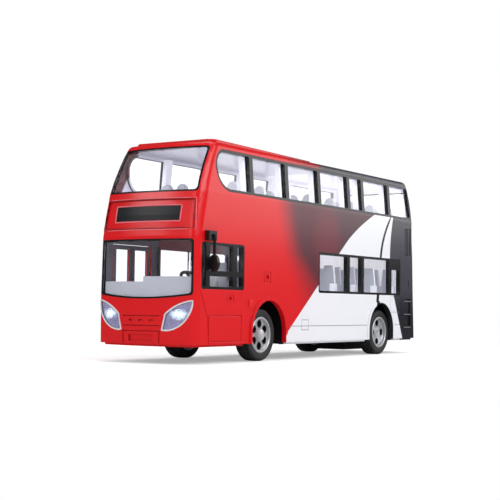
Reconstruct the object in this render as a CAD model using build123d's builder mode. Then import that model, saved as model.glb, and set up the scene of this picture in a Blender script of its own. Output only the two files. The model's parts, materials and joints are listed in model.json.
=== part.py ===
from build123d import *
import os

# Toy double decker bus, in millimetres. +X is forward, +Y is the bus's left, +Z is up.
# The origin is on the floor, under the middle of the body.

os.makedirs("parts", exist_ok=True)

# Driving dimensions of the body
body_length = 342.0
body_half_width = 40.5
skirt_bottom = 12.8
waist_height = 113.5
roof_height = 148.6
front_bow = 5.3
rear_bow = 2.0
corner_radius = 7.0
upper_corner_radius = 8.5
roof_edge_radius = 4.5
wall = 2.6
tumblehome = 2.9
lamp_line = 46.0
screen_line = 84.0
hip_line = 98.0
visor_line = 123.0
brow_height = 132.0
crown_line = 141.0
crown_front_draw = 19.0
crown_rear_draw = 10.6
roof_front_draw = 24.0
roof_rear_draw = 15.0
joint_gap = 0.05
clearance = 0.4

front_x = body_length / 2
rear_x = -body_length / 2
inner_half_width = body_half_width - wall

# Where the moulded panels meet
fascia_seam_x = 160.8
fascia_seam_bend = 104.0
fascia_seam_top_x = 140.5
rear_seam_x = -138.5
rear_seam_upper_x = -159.6
rear_seam_top_x = -154.6
rear_seam_step = 111.0
roof_seam = 145.4

# Running gear
tyre_radius = 18.5
tyre_width = 11.6
tyre_shoulder = 2.0
rim_radius = 12.7
rim_wall = 1.2
wheel_outer_y = 37.2
front_axle_x = 80.2
rear_axle_x = -104.6
axle_height = tyre_radius
wheel_inner_y = wheel_outer_y - tyre_width
stub_radius = 1.5
running_clearance = 0.06
kingpin_y = 22.8
kingpin_radius = 1.2
beam_half_width = 2.8
beam_bottom = 15.5
beam_top = 21.5
knuckle_plate = 1.5
knuckle_gap = 0.3
knuckle_half_width = 4.0
arm_length = 10.7
arm_half_width = 1.8
track_rod_gap = 0.3
track_rod_height = 1.8
ball_pin_radius = 0.9
ball_pin_length = 3.0
open_pivot_clearance = 0.2

# Wheel arches and wells
arch_radius = 22.2
arch_lip = 2.6
arch_lip_proud = 0.9
front_arch_x = 75.8
rear_arch_x = -99.4
rear_arch_radius = 21.4
arch_centre_height = 20.6
well_wall = 1.5
well_inner_y = 15.0
well_top = 44.6
front_well_back = 48.0
front_well_front = 105.5
rear_well_back = -128.0
rear_well_front = -76.0
chassis_bottom = 11.4
chassis_thickness = 2.6
chassis_top = chassis_bottom + chassis_thickness

# Decks
lower_deck_bottom = well_top + well_wall
lower_deck_front = 107.0
upper_deck_bottom = 94.0
deck_thickness = 2.0

# Glazing
glass_depth = 1.0
glass_thickness = 1.0
frame_depth = 4.0
side_glass_depth = 2.4
frame_edge = 1.8
post_width = 4.6
window_corner = 2.0
upper_window_bottom = 115.4
upper_window_top = 143.8
upper_window_rear = -157.4
upper_window_rear_top = -153.2
upper_window_front = 133.8
upper_window_shoulder = 140.8
upper_window_shoulder_height = 138.6
upper_window_nose = 142.6
upper_window_nose_height = 131.4
upper_window_toe = 136.9
upper_window_toe_height = 119.6
upper_window_foot = 125.6
upper_post_places = [99.0, 51.4, 3.6, -43.8, -67.7, -115.5]
lower_window_bottom = 49.4
lower_window_top = 80.4
driver_window_rear = 108.3
driver_window_front = 159.2
driver_window_posts = [151.8, 119.6]
sash_rail_bottom = 58.1
sash_rail_top = 61.6
rear_band_front = 5.2
rear_band_rear = -136.6
rear_band_posts = [-42.6, -66.8, -117.3]
quarter_top = 71.0
right_band_front = 103.0
right_band_posts = [60.5, 12.0, -42.6, -66.8, -117.3]

# Shallow marks of the sides: rear, front, bottom and top of each
mark_depth = 0.5
mark_recess = 1.2
both_side_frames = [
    (-138.3, -117.5, 35.0, 48.4),
    (19.6, 30.5, 21.3, 29.3),
]
left_side_frames = [
    (111.0, 150.5, 14.5, 32.3),
    (120.8, 129.2, 41.4, 45.8),
    (73.8, 83.0, 55.4, 62.8),
]
both_side_lines = [
    (-75.0, 46.6, 24.2, 24.8),
    (-137.0, -123.8, 24.2, 24.8),
    (-77.3, -76.7, 14.0, 24.2),
]
both_side_recesses = [
    (-157.0, -144.0, 45.0, 47.0),
    (-157.0, -144.0, 34.0, 44.0),
    (-157.0, -144.0, 23.0, 32.6),
    (-156.3, -154.2, 84.2, 108.3),
    (-153.1, -151.9, 56.3, 62.4),
]
left_side_recesses = [
    (123.4, 126.6, 42.6, 44.6),
    (76.4, 80.4, 57.6, 60.6),
]
louvre_rear = -152.0
louvre_front = -144.0
louvre_bottom = 84.2
louvre_top = 108.3
louvre_count = 12
louvre_gap = 0.9
seam_top = (159.5, 48.4)
seam_bend = (150.9, 29.8)
seam_foot = (149.9, 12.0)

# Doorway on the right side
door_front = 154.0
door_rear = 110.6
door_bottom = 15.4
door_top = 80.4
door_thickness = 2.0
door_gap = 0.4
door_pin_radius = 0.6
door_pin_length = 1.5
door_rail = 3.2

# Front fascia openings
screen_half_width_top = 38.0
screen_half_width_bottom = 38.4
screen_bottom = 45.4
screen_sag = 2.8
gasket_width = 1.2
gasket_depth = 0.25
screen_top = 82.0
upper_screen_half_bottom = 37.0
upper_screen_half_top = 35.4
upper_screen_bottom = 113.4
upper_screen_top = 145.2
sign_half_width = 26.7
sign_bottom = 93.9
sign_top = 104.2
sign_panel_half_top = 36.0
sign_panel_half_bottom = 37.6
sign_panel_bottom = 88.9
sign_panel_top = 108.3
front_recess = 0.9
sign_thickness = 1.5
groove_width = 0.6
# middle across, middle height, width and height of each shallow front recess
front_slots = [
    (-8.0, 28.6, 3.4, 1.4),
    (0.3, 28.6, 3.4, 1.4),
    (8.9, 28.6, 3.4, 1.4),
    (0.0, 31.4, 30.0, groove_width),
    (0.0, 25.0, 31.0, groove_width),
    (0.0, 21.4, 31.0, groove_width),
    (14.9, 17.2, groove_width, 8.0),
    (-14.9, 17.2, groove_width, 8.0),
    (0.0, 17.0, 19.6, 4.4),
]
lens_thickness = 1.2
rear_glass_half_width = 33.0
rear_glass_bottom = 118.0
rear_glass_top = 140.0
tail_lamp_width = 6.0
tail_lamp_y = 34.6
tail_lamp_bottom = 40.0
tail_lamp_top = 66.0

# Raised panel on the front half of the roof
pod_front = 138.0
pod_rear = 4.0
pod_half_width = 33.0
pod_corner = 5.0
pod_height = 2.2
pod_rear_height = 1.0
pod_chamfer = 0.5

# Underside and drive
front_notch_back = 60.0
front_notch_front = 90.0
rear_notch_back = -110.0
rear_notch_front = -99.0
notch_top = 25.0
gearbox_x = -104.6
gearbox_length = 34.0
gearbox_width = 26.0
gearbox_bottom = 3.6
gearbox_top = 32.0
gearbox_flange = 2.0
battery_x = -10.0
battery_length = 70.0
battery_width = 34.0
battery_cover_thickness = 1.4
beam_seat_half_width = 12.0
beam_seat_length = 8.4
stub_end = 36.5
stub_head = 0.7
stub_head_radius = 2.4
rod_half_width = 1.4
rear_axle_end = 33.0

# Rims
disc_thickness = 1.6
rim_inset = 0.6
rim_slope = 1.0
hub_radius = 4.0
front_hub_proud = 1.0
rear_hub_proud = 0.6
hole_circle = 7.8
front_hole_count = 6
rear_hole_count = 4
hole_radius = 2.2
front_disc_depth = 2.0
rear_disc_depth = 5.5

# Seats and cab
gangway_half_width = 8.0
seat_width = 13.4
seat_depth = 12.0
seat_back = 2.5
seat_height = 9.0
seat_back_top = 23.5
seat_back_foot = 13.0
seat_back_head = 8.0
seat_pitch = 34.5
seats_rear = -137.0
lower_row_count = 7
upper_row_count = 8
dash_top = 57.4
dash_shelf = 54.0
dash_ledge = 48.6
dash_bottom = 43.0
dash_rear = 146.0
dash_notch_rear = 154.6
dash_notch_y = -17.0
driver_y = 17.0
driver_seat_x = 118.0
driver_seat_width = 14.0
driver_cushion = 22.0
driver_back_top = 72.0
wheel_rim_x = 138.6
wheel_rim_z = 57.0
wheel_rim_radius = 6.6
wheel_rim_thickness = 1.1
wheel_rim_tilt = 35.0
column_length = 14.0

# Mirrors
mirror_block_x = 151.5
mirror_block_z = 84.4
mirror_block_length = 9.0
mirror_block_out = 3.5
mirror_block_height = 6.4
mirror_x = 150.5
mirror_y = 44.5
mirror_arm = 1.0
mirror_head_z = 66.4
mirror_half_width = 3.6
mirror_half_height = 5.6
mirror_depth = 2.8

reach = 2 * body_half_width


def body_form(inset, base):
    """The whole outer form of the bus, drawn in on every side by the inset."""
    top = roof_height - inset
    rise = (top - crown_line) / (roof_height - crown_line)
    top_front_draw = crown_front_draw + rise * (roof_front_draw - crown_front_draw)
    top_rear_draw = crown_rear_draw + rise * (roof_rear_draw - crown_rear_draw)
    # height, draw of each side, draw of the front, draw of the rear, radius of the upright corners
    sections = [
        (skirt_bottom, 0.0, 0.5, 0.0, corner_radius),
        (lamp_line, 0.0, 0.0, 2.2, corner_radius),
        (screen_line, 0.0, 1.0, 4.2, corner_radius),
        (hip_line, 0.0, 3.1, 4.7, upper_corner_radius),
        (waist_height, 0.0, 6.6, 5.2, upper_corner_radius),
        (visor_line, tumblehome / 4, 10.0, 6.0, upper_corner_radius),
        (brow_height, tumblehome / 2, 14.2, 7.6, upper_corner_radius),
        (crown_line, 3 * tumblehome / 4, crown_front_draw, crown_rear_draw, upper_corner_radius),
        (top, (3 + rise) * tumblehome / 4, top_front_draw, top_rear_draw, upper_corner_radius),
    ]
    if base < skirt_bottom:
        sections.insert(0, (base, *sections[0][1:]))
    with BuildPart() as form:
        for height, side_draw, front_draw, rear_draw, corner in sections:
            half = body_half_width - side_draw - inset
            front = front_x - front_draw - inset
            rear = rear_x + rear_draw + inset
            with BuildSketch(Plane.XY.offset(height)) as section:
                with BuildLine():
                    ThreePointArc((front - front_bow, -half), (front, 0), (front - front_bow, half))
                    Line((front - front_bow, half), (rear + rear_bow, half))
                    ThreePointArc((rear + rear_bow, half), (rear, 0), (rear + rear_bow, -half))
                    Line((rear + rear_bow, -half), (front - front_bow, -half))
                make_face()
                fillet(section.vertices(), radius=corner - inset)
        loft(ruled=True)
        fillet(form.faces().sort_by(Axis.Z)[-1].edges(), radius=roof_edge_radius - inset)
    return form.part


def layer(outer_inset, inner_inset):
    """A skin of the body between two depths under its surface, open below."""
    with BuildPart() as skin:
        add(body_form(outer_inset, skirt_bottom))
        add(body_form(inner_inset, skirt_bottom - wall), mode=Mode.SUBTRACT)
    return skin.part


def side_prism(points):
    """A region drawn in the side view, right through the bus."""
    with BuildPart() as prism:
        with BuildSketch(Plane.XZ):
            with BuildLine():
                Polyline(*points, close=True)
            make_face()
        extrude(amount=reach, both=True)
    return prism.part


def side_window(rear, front, bottom, top, corner):
    """A rounded window drawn in the side view, right through the bus."""
    with BuildPart() as prism:
        with BuildSketch(Plane.XZ):
            with Locations(((rear + front) / 2, (bottom + top) / 2)):
                RectangleRounded(front - rear, top - bottom, corner)
        extrude(amount=reach, both=True)
    return prism.part


def end_window(half_bottom, half_top, bottom, top, corner, end, margin=0):
    """A tapered window drawn in the front view, drawn in by a margin, through the front or the rear only."""
    low = bottom + margin
    high = top - margin
    with BuildPart() as prism:
        with BuildSketch(Plane.YZ) as window:
            with BuildLine():
                Polyline(
                    (margin - half_bottom, low), (half_bottom - margin, low),
                    (half_top - margin, high), (margin - half_top, high),
                    close=True,
                )
            make_face()
            fillet(window.vertices(), radius=corner)
        extrude(amount=end * body_length)
    return prism.part


def bowed_window(margin):
    """The lower windscreen's outline with its sagging bottom edge, drawn in by a margin."""
    half_bottom = screen_half_width_bottom - margin
    half_top = screen_half_width_top - margin
    low = screen_bottom + margin
    with BuildPart() as prism:
        with BuildSketch(Plane.YZ) as window:
            with BuildLine():
                ThreePointArc((-half_bottom, low), (0, low - screen_sag), (half_bottom, low))
                Polyline(
                    (half_bottom, low), (half_top, screen_top - margin),
                    (-half_top, screen_top - margin), (-half_bottom, low),
                )
            make_face()
            fillet(window.vertices(), radius=window_corner)
        extrude(amount=body_length)
    return prism.part


def upper_window(margin):
    """The long upper side window with its leaning nose, drawn in by a margin."""
    bottom = upper_window_bottom + margin
    top = upper_window_top - margin
    foot = (upper_window_foot, bottom)
    nose = (upper_window_nose - margin, upper_window_nose_height)
    brow = (upper_window_front - margin, top)
    slant = margin / 2 ** 0.5
    toe = (upper_window_toe - slant, upper_window_toe_height + slant)
    shoulder = (upper_window_shoulder - slant, upper_window_shoulder_height - slant)
    with BuildPart() as prism:
        with BuildSketch(Plane.XZ) as window:
            with BuildLine():
                ThreePointArc(foot, toe, nose)
                ThreePointArc(nose, shoulder, brow)
                Polyline(
                    brow,
                    (upper_window_rear_top + margin, top),
                    (upper_window_rear + margin, bottom),
                    foot,
                )
            make_face()
            fillet(window.vertices().group_by(Axis.X)[0], radius=window_corner)
        extrude(amount=reach, both=True)
    return prism.part


def half_space(side):
    """Everything on one side of the bus's middle plane."""
    with BuildPart() as half:
        with Locations((0, side * body_length / 2, 0)):
            Box(2 * body_length, body_length, 2 * body_length)
    return half.part


def headlamp_prism(side):
    """The almond outline of one headlamp, drawn in the front view."""
    tip = (side * 38.6, 42.0)
    foot = (side * 16.6, 21.9)
    crown = (side * 19.1, 32.8)
    with BuildPart() as prism:
        with BuildSketch(Plane.YZ):
            with BuildLine():
                ThreePointArc(crown, (side * 27.5, 38.6), tip)
                ThreePointArc(tip, (side * 31.2, 25.9), foot)
                Line(foot, crown)
            make_face()
        extrude(amount=body_length)
    return prism.part


def export(piece, name):
    """Labels a finished piece and writes it under its own name."""
    piece.label = name
    export_step(piece, "parts/" + name + ".step")


# The regions that the panels are split into
fascia_region = side_prism([
    (fascia_seam_x, 0), (fascia_seam_x, fascia_seam_bend), (fascia_seam_top_x, roof_height),
    (fascia_seam_top_x, body_length), (body_length, body_length), (body_length, 0),
])
rear_region = side_prism([
    (rear_seam_x, 0), (rear_seam_x, rear_seam_step), (rear_seam_upper_x, rear_seam_step),
    (rear_seam_top_x, roof_height), (rear_seam_top_x, body_length),
    (-body_length, body_length), (-body_length, 0),
])
roof_region = side_prism([
    (-body_length, roof_seam), (body_length, roof_seam),
    (body_length, body_length), (-body_length, body_length),
])
left_half = half_space(1)
right_half = half_space(-1)

shell = layer(0, wall)
glass_skin = layer(glass_depth, glass_depth + glass_thickness)
side_glass_skin = layer(side_glass_depth, side_glass_depth + glass_thickness)
frame_skin = layer(joint_gap, frame_depth)
cavity = body_form(wall + joint_gap, chassis_bottom)

upper_screen = end_window(
    upper_screen_half_bottom, upper_screen_half_top, upper_screen_bottom, upper_screen_top, window_corner, 1
)
upper_pane = end_window(
    upper_screen_half_bottom, upper_screen_half_top, upper_screen_bottom, upper_screen_top,
    window_corner, 1, gasket_width,
)
lower_screen = bowed_window(0)
lower_pane = bowed_window(gasket_width)
sign_window = end_window(sign_half_width, sign_half_width, sign_bottom, sign_top, window_corner / 2, 1)
sign_panel = end_window(
    sign_panel_half_bottom, sign_panel_half_top, sign_panel_bottom, sign_panel_top, window_corner, 1
)
rear_screen = end_window(
    rear_glass_half_width, rear_glass_half_width, rear_glass_bottom, rear_glass_top, window_corner, -1
)
left_lamp = headlamp_prism(1)
right_lamp = headlamp_prism(-1)

# Front fascia with both screens, the sign and the headlamps cut out
with BuildPart() as fascia:
    add(shell)
    add(fascia_region, mode=Mode.INTERSECT)
    add(upper_screen, mode=Mode.SUBTRACT)
    add(lower_screen, mode=Mode.SUBTRACT)
    add(sign_window, mode=Mode.SUBTRACT)
    add(left_lamp, mode=Mode.SUBTRACT)
    add(right_lamp, mode=Mode.SUBTRACT)

# Shallow recesses of the front: the sign panel, the cooling slots, the grooves and the blank plate
with BuildPart() as front_marks:
    add(sign_panel)
    with BuildSketch(Plane.YZ):
        for middle_y, middle_z, width, height in front_slots:
            with Locations((middle_y, middle_z)):
                Rectangle(width, height)
    extrude(amount=body_length)

with BuildPart() as front_pockets:
    add(layer(-1, front_recess))
    add(front_marks.part, mode=Mode.INTERSECT)

with BuildPart() as front_fascia:
    add(fascia.part)
    add(front_pockets.part, mode=Mode.SUBTRACT)
export(front_fascia.part, "front_fascia")

with BuildPart() as lower_windscreen:
    add(glass_skin)
    add(lower_pane, mode=Mode.INTERSECT)
export(lower_windscreen.part, "lower_windscreen")

with BuildPart() as upper_windscreen:
    add(glass_skin)
    add(upper_pane, mode=Mode.INTERSECT)
    add(fascia_region, mode=Mode.INTERSECT)
export(upper_windscreen.part, "upper_windscreen")

# Black gaskets round both screens
with BuildPart() as gasket_outlines:
    add(upper_screen)
    add(lower_screen)

with BuildPart() as screen_gaskets:
    add(layer(gasket_depth, wall))
    add(gasket_outlines.part, mode=Mode.INTERSECT)
    add(fascia_region, mode=Mode.INTERSECT)
    add(upper_pane, mode=Mode.SUBTRACT)
    add(lower_pane, mode=Mode.SUBTRACT)
export(screen_gaskets.part, "screen_gaskets")

with BuildPart() as destination_sign:
    add(layer(front_recess, front_recess + sign_thickness))
    add(sign_window, mode=Mode.INTERSECT)
export(destination_sign.part, "destination_sign")

lens_skin = layer(joint_gap, lens_thickness)
bowl_skin = layer(lens_thickness, wall)
with BuildPart() as lamp_outlines:
    add(left_lamp)
    add(right_lamp)
    add(fascia_region, mode=Mode.INTERSECT)

with BuildPart() as headlamp_lenses:
    add(lens_skin)
    add(lamp_outlines.part, mode=Mode.INTERSECT)
export(headlamp_lenses.part, "headlamp_lenses")

with BuildPart() as headlamp_bowls:
    add(bowl_skin)
    add(lamp_outlines.part, mode=Mode.INTERSECT)
export(headlamp_bowls.part, "headlamp_bowls")

# Side windows
rear_band = side_window(
    rear_band_rear, rear_band_front, lower_window_bottom, lower_window_top, window_corner
)
driver_window = side_window(
    driver_window_rear, driver_window_front, lower_window_bottom, lower_window_top, window_corner
)
right_band = side_window(
    rear_band_rear, right_band_front, lower_window_bottom, lower_window_top, window_corner
)
upper_band = upper_window(0)
doorway = side_window(door_rear, door_front, door_bottom - door_gap, door_top, window_corner / 2)


def arch(centre_x, radius):
    """A wheel arch: a half round on straight sides that run down past the skirt."""
    with BuildPart() as opening:
        with BuildSketch(Plane.XZ):
            with Locations((centre_x, arch_centre_height)):
                Circle(radius)
            with Locations((centre_x, 0)):
                Rectangle(2 * radius, 2 * arch_centre_height)
        extrude(amount=reach, both=True)
    return opening.part


def arch_lip_ring(centre_x, radius):
    """The lip that stands out round a wheel arch, in the side view."""
    with BuildPart() as lip:
        with BuildSketch(Plane.XZ):
            with Locations((centre_x, arch_centre_height)):
                Circle(radius + arch_lip)
            with Locations((centre_x, (skirt_bottom + arch_centre_height) / 2)):
                Rectangle(2 * (radius + arch_lip), arch_centre_height - skirt_bottom)
            with Locations((centre_x, arch_centre_height)):
                Circle(radius, mode=Mode.SUBTRACT)
            with Locations((centre_x, arch_centre_height / 2)):
                Rectangle(2 * radius, arch_centre_height, mode=Mode.SUBTRACT)
            with Locations((centre_x, skirt_bottom)):
                Rectangle(2 * reach, reach, align=(Align.CENTER, Align.MAX), mode=Mode.SUBTRACT)
        extrude(amount=body_half_width + arch_lip_proud, both=True)
        Box(2 * body_length, 2 * (body_half_width - wall), 2 * body_length, mode=Mode.SUBTRACT)
    return lip.part


front_arch = arch(front_arch_x, arch_radius)
rear_arch = arch(rear_arch_x, rear_arch_radius)
front_lip = arch_lip_ring(front_arch_x, arch_radius)
rear_lip = arch_lip_ring(rear_arch_x, rear_arch_radius)



def on_both_walls(sketch, depth):
    """A sketch in the side view, carried out from a depth under both side walls."""
    with BuildPart() as marks:
        extrude(sketch.moved(Location((0, reach, 0))), amount=2 * reach, dir=(0, -1, 0))
        Box(2 * body_length, 2 * (body_half_width - depth), 2 * body_length, mode=Mode.SUBTRACT)
    return marks.part


def outlines(frames, lines):
    """Grooves round each frame and along each line, in the side view."""
    with BuildSketch(Plane.XZ) as grooves:
        for rear, front, bottom, top in frames:
            with Locations(((rear + front) / 2, (bottom + top) / 2)):
                Rectangle(front - rear, top - bottom)
                Rectangle(
                    front - rear - 2 * groove_width, top - bottom - 2 * groove_width, mode=Mode.SUBTRACT
                )
        for rear, front, bottom, top in lines:
            with Locations(((rear + front) / 2, (bottom + top) / 2)):
                Rectangle(front - rear, top - bottom)
    return grooves.sketch


def recesses(places):
    """Rectangles in the side view."""
    with BuildSketch(Plane.XZ) as cuts:
        for rear, front, bottom, top in places:
            with Locations(((rear + front) / 2, (bottom + top) / 2)):
                Rectangle(front - rear, top - bottom)
    return cuts.sketch


louvre_pitch = (louvre_top - louvre_bottom) / louvre_count
louvre_feet = [louvre_bottom + slat * louvre_pitch for slat in range(louvre_count)]
louvres = [(louvre_rear, louvre_front, foot, foot + louvre_gap) for foot in louvre_feet]
both_side_grooves = on_both_walls(outlines(both_side_frames, both_side_lines), mark_depth)
both_side_pockets = on_both_walls(recesses(both_side_recesses + louvres), mark_recess)
left_side_grooves = on_both_walls(outlines(left_side_frames, []), mark_depth)
left_side_pockets = on_both_walls(recesses(left_side_recesses), mark_recess)

with BuildSketch(Plane.XZ) as seam_line:
    with BuildLine():
        Polyline(
            seam_top, seam_bend, seam_foot,
            (seam_foot[0] + groove_width, seam_foot[1]),
            (seam_bend[0] + groove_width, seam_bend[1]),
            (seam_top[0] + groove_width, seam_top[1]),
            close=True,
        )
    make_face()
seam_groove = on_both_walls(seam_line.sketch, mark_depth)

with BuildPart() as side_shell:
    add(shell)
    for region in (fascia_region, rear_region, roof_region, upper_band, front_arch, rear_arch):
        add(region, mode=Mode.SUBTRACT)
    add(both_side_grooves, mode=Mode.SUBTRACT)
    add(front_lip)
    add(rear_lip)

with BuildPart() as side_left:
    add(side_shell.part)
    add(left_half, mode=Mode.INTERSECT)
    add(rear_band, mode=Mode.SUBTRACT)
    add(driver_window, mode=Mode.SUBTRACT)
    for marks in (left_side_grooves, left_side_pockets, seam_groove):
        add(marks, mode=Mode.SUBTRACT)
export(side_left.part, "side_left")


def bays_between(rear, front, posts, header_bottom):
    """The clear bays of one lower window band, between its posts; the rearmost bay ends under its header."""
    bottom = lower_window_bottom
    top = lower_window_top
    edges = [front - frame_edge]
    for post in posts:
        edges += [post + post_width / 2, post - post_width / 2]
    edges.append(rear + frame_edge)
    with BuildPart() as bays:
        with BuildSketch(Plane.XZ):
            for bay_front, bay_rear in zip(edges[::2], edges[1::2]):
                with Locations(((bay_rear + bay_front) / 2, (bottom + top) / 2)):
                    RectangleRounded(bay_front - bay_rear, top - bottom - 2 * frame_edge, window_corner / 2)
        extrude(amount=reach, both=True)
        with Locations(((rear + posts[-1]) / 2, 0, header_bottom)):
            Box(
                posts[-1] - rear, 2 * reach, body_length,
                align=(Align.CENTER, Align.CENTER, Align.MIN), mode=Mode.SUBTRACT,
            )
    return bays.part


rear_band_bays = bays_between(rear_band_rear, rear_band_front, rear_band_posts, quarter_top)
driver_bays = bays_between(driver_window_rear, driver_window_front, driver_window_posts, lower_window_top)
right_bays = bays_between(rear_band_rear, right_band_front, right_band_posts, quarter_top)

# The upper bays follow the leaning nose of their window
with BuildPart() as upper_bays:
    add(upper_window(frame_edge))
    for post in upper_post_places:
        with Locations((post, 0, (upper_window_bottom + upper_window_top) / 2)):
            Box(post_width, 2 * reach, upper_window_top - upper_window_bottom, mode=Mode.SUBTRACT)

with BuildPart() as sash_bays:
    add(driver_bays)
    with Locations(((driver_window_rear + driver_window_posts[0]) / 2, 0, sash_rail_bottom)):
        Box(
            driver_window_posts[0] - driver_window_rear, 2 * reach, sash_rail_top - sash_rail_bottom,
            align=(Align.CENTER, Align.CENTER, Align.MIN), mode=Mode.SUBTRACT,
        )

with BuildPart() as left_windows:
    add(upper_band)
    add(rear_band)
    add(driver_window)

with BuildPart() as left_bays:
    add(upper_bays.part)
    add(rear_band_bays)
    add(sash_bays.part)

with BuildPart() as right_windows:
    add(upper_band)
    add(right_band)

with BuildPart() as right_window_bays:
    add(upper_bays.part)
    add(right_bays)

for side_name, half, windows, bays in (
    ("left", left_half, left_windows.part, left_bays.part),
    ("right", right_half, right_windows.part, right_window_bays.part),
):
    with BuildPart() as frames:
        add(frame_skin)
        add(half, mode=Mode.INTERSECT)
        add(windows, mode=Mode.INTERSECT)
        add(bays, mode=Mode.SUBTRACT)
    export(frames.part, "window_frames_" + side_name)
    with BuildPart() as panes:
        add(side_glass_skin)
        add(half, mode=Mode.INTERSECT)
        add(bays, mode=Mode.INTERSECT)
    export(panes.part, "side_glass_" + side_name)

# Rear panel with its window and lamps cut out
with BuildPart() as tail_lamp_cut:
    with BuildSketch(Plane.YZ):
        with Locations(
            (tail_lamp_y, (tail_lamp_bottom + tail_lamp_top) / 2),
            (-tail_lamp_y, (tail_lamp_bottom + tail_lamp_top) / 2),
        ):
            Rectangle(tail_lamp_width, tail_lamp_top - tail_lamp_bottom)
    extrude(amount=-body_length)

with BuildPart() as rear_panel:
    add(shell)
    add(rear_region, mode=Mode.INTERSECT)
    add(roof_region, mode=Mode.SUBTRACT)
    add(rear_screen, mode=Mode.SUBTRACT)
    add(tail_lamp_cut.part, mode=Mode.SUBTRACT)
    add(both_side_pockets, mode=Mode.SUBTRACT)
export(rear_panel.part, "rear_panel")

with BuildPart() as rear_glass:
    add(glass_skin)
    add(rear_screen, mode=Mode.INTERSECT)
    add(rear_region, mode=Mode.INTERSECT)
export(rear_glass.part, "rear_glass")

with BuildPart() as tail_lamps:
    add(layer(joint_gap, wall))
    add(tail_lamp_cut.part, mode=Mode.INTERSECT)
    add(rear_region, mode=Mode.INTERSECT)
export(tail_lamps.part, "tail_lamps")

with BuildPart() as roof_shell:
    add(shell)
    add(roof_region, mode=Mode.INTERSECT)
    add(fascia_region, mode=Mode.SUBTRACT)
export(roof_shell.part, "roof_shell")

with BuildPart() as roof_pod:
    with BuildSketch(Plane.XZ):
        with BuildLine():
            Polyline(
                (pod_rear, roof_height), (pod_front, roof_height),
                (pod_front, roof_height + pod_height), (pod_rear, roof_height + pod_rear_height),
                close=True,
            )
        make_face()
    extrude(amount=pod_half_width, both=True)
    fillet(roof_pod.edges().filter_by(Axis.Z), radius=pod_corner)
    chamfer(roof_pod.faces().sort_by(Axis.Z)[-1].edges(), length=pod_chamfer)
export(roof_pod.part, "roof_pod")

# Door leaves, hung on round edges with a pin at the top and the bottom
door_axis_y = -(body_half_width - door_thickness / 2)
door_middle = (door_front + door_rear) / 2
leaf_bottom = door_bottom
leaf_top = door_top - door_gap
leaves = [
    ("front", door_front - door_gap - door_thickness / 2, door_middle + door_gap / 2),
    ("rear", door_rear + door_gap + door_thickness / 2, door_middle - door_gap / 2),
]

with BuildPart() as side_right:
    add(side_shell.part)
    add(right_half, mode=Mode.INTERSECT)
    add(right_band, mode=Mode.SUBTRACT)
    add(doorway, mode=Mode.SUBTRACT)
    for leaf_name, hinge_x, free_x in leaves:
        with Locations((hinge_x, door_axis_y, (leaf_bottom + leaf_top) / 2)):
            Cylinder(
                door_pin_radius + running_clearance,
                leaf_top - leaf_bottom + 2 * (door_pin_length + door_gap),
                mode=Mode.SUBTRACT,
            )
export(side_right.part, "side_right")

for leaf_name, hinge_x, free_x in leaves:
    pane_near = hinge_x + (door_rail if free_x > hinge_x else -door_rail)
    pane_far = free_x - (door_rail if free_x > hinge_x else -door_rail)
    with BuildPart() as leaf:
        with BuildSketch(Plane.XY.offset(leaf_bottom)):
            with Locations((hinge_x, door_axis_y)):
                Circle(door_thickness / 2)
            with Locations(((hinge_x + free_x) / 2, door_axis_y)):
                Rectangle(abs(free_x - hinge_x), door_thickness)
        extrude(amount=leaf_top - leaf_bottom)
        with Locations((hinge_x, door_axis_y, (leaf_bottom + leaf_top) / 2)):
            Cylinder(door_pin_radius, leaf_top - leaf_bottom + 2 * door_pin_length)
        with Locations(((pane_near + pane_far) / 2, door_axis_y, (leaf_bottom + leaf_top) / 2)):
            Box(
                abs(pane_far - pane_near),
                2 * door_thickness,
                leaf_top - leaf_bottom - 2 * door_rail,
                mode=Mode.SUBTRACT,
            )
    export(leaf.part, "door_leaf_" + leaf_name)
    with BuildPart() as leaf_pane:
        with Locations(((pane_near + pane_far) / 2, door_axis_y, (leaf_bottom + leaf_top) / 2)):
            Box(abs(pane_far - pane_near), glass_thickness, leaf_top - leaf_bottom - 2 * door_rail)
    export(leaf_pane.part, "door_glass_" + leaf_name)

# Chassis tray, open under each wheel well, with seats for the gearbox and the battery cover
wells = [
    (front_well_back, front_well_front, front_notch_back, front_notch_front),
    (rear_well_back, rear_well_front, rear_notch_back, rear_notch_front),
]


def slab(bottom, top):
    """The inside of the body between two heights."""
    with BuildPart() as slice_of_cavity:
        add(cavity)
        with Locations((0, 0, top)):
            Box(
                2 * body_length, 2 * body_length, body_length,
                align=(Align.CENTER, Align.CENTER, Align.MIN), mode=Mode.SUBTRACT,
            )
        with Locations((0, 0, bottom)):
            Box(
                2 * body_length, 2 * body_length, body_length,
                align=(Align.CENTER, Align.CENTER, Align.MAX), mode=Mode.SUBTRACT,
            )
    return slice_of_cavity.part


with BuildPart() as chassis:
    add(slab(chassis_bottom, chassis_top))
    for well_back, well_front, notch_back, notch_front in wells:
        for side in (1, -1):
            with Locations(((well_back + well_front) / 2, side * (well_inner_y + reach / 2), chassis_bottom)):
                Box(well_front - well_back, reach, reach, mode=Mode.SUBTRACT)
    with Locations((gearbox_x, 0, chassis_bottom)):
        Box(gearbox_length, gearbox_width, reach, mode=Mode.SUBTRACT)
    with Locations((battery_x, 0, chassis_bottom)):
        Box(battery_length, battery_width, battery_cover_thickness * 2, mode=Mode.SUBTRACT)
export(chassis.part, "chassis")

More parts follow.
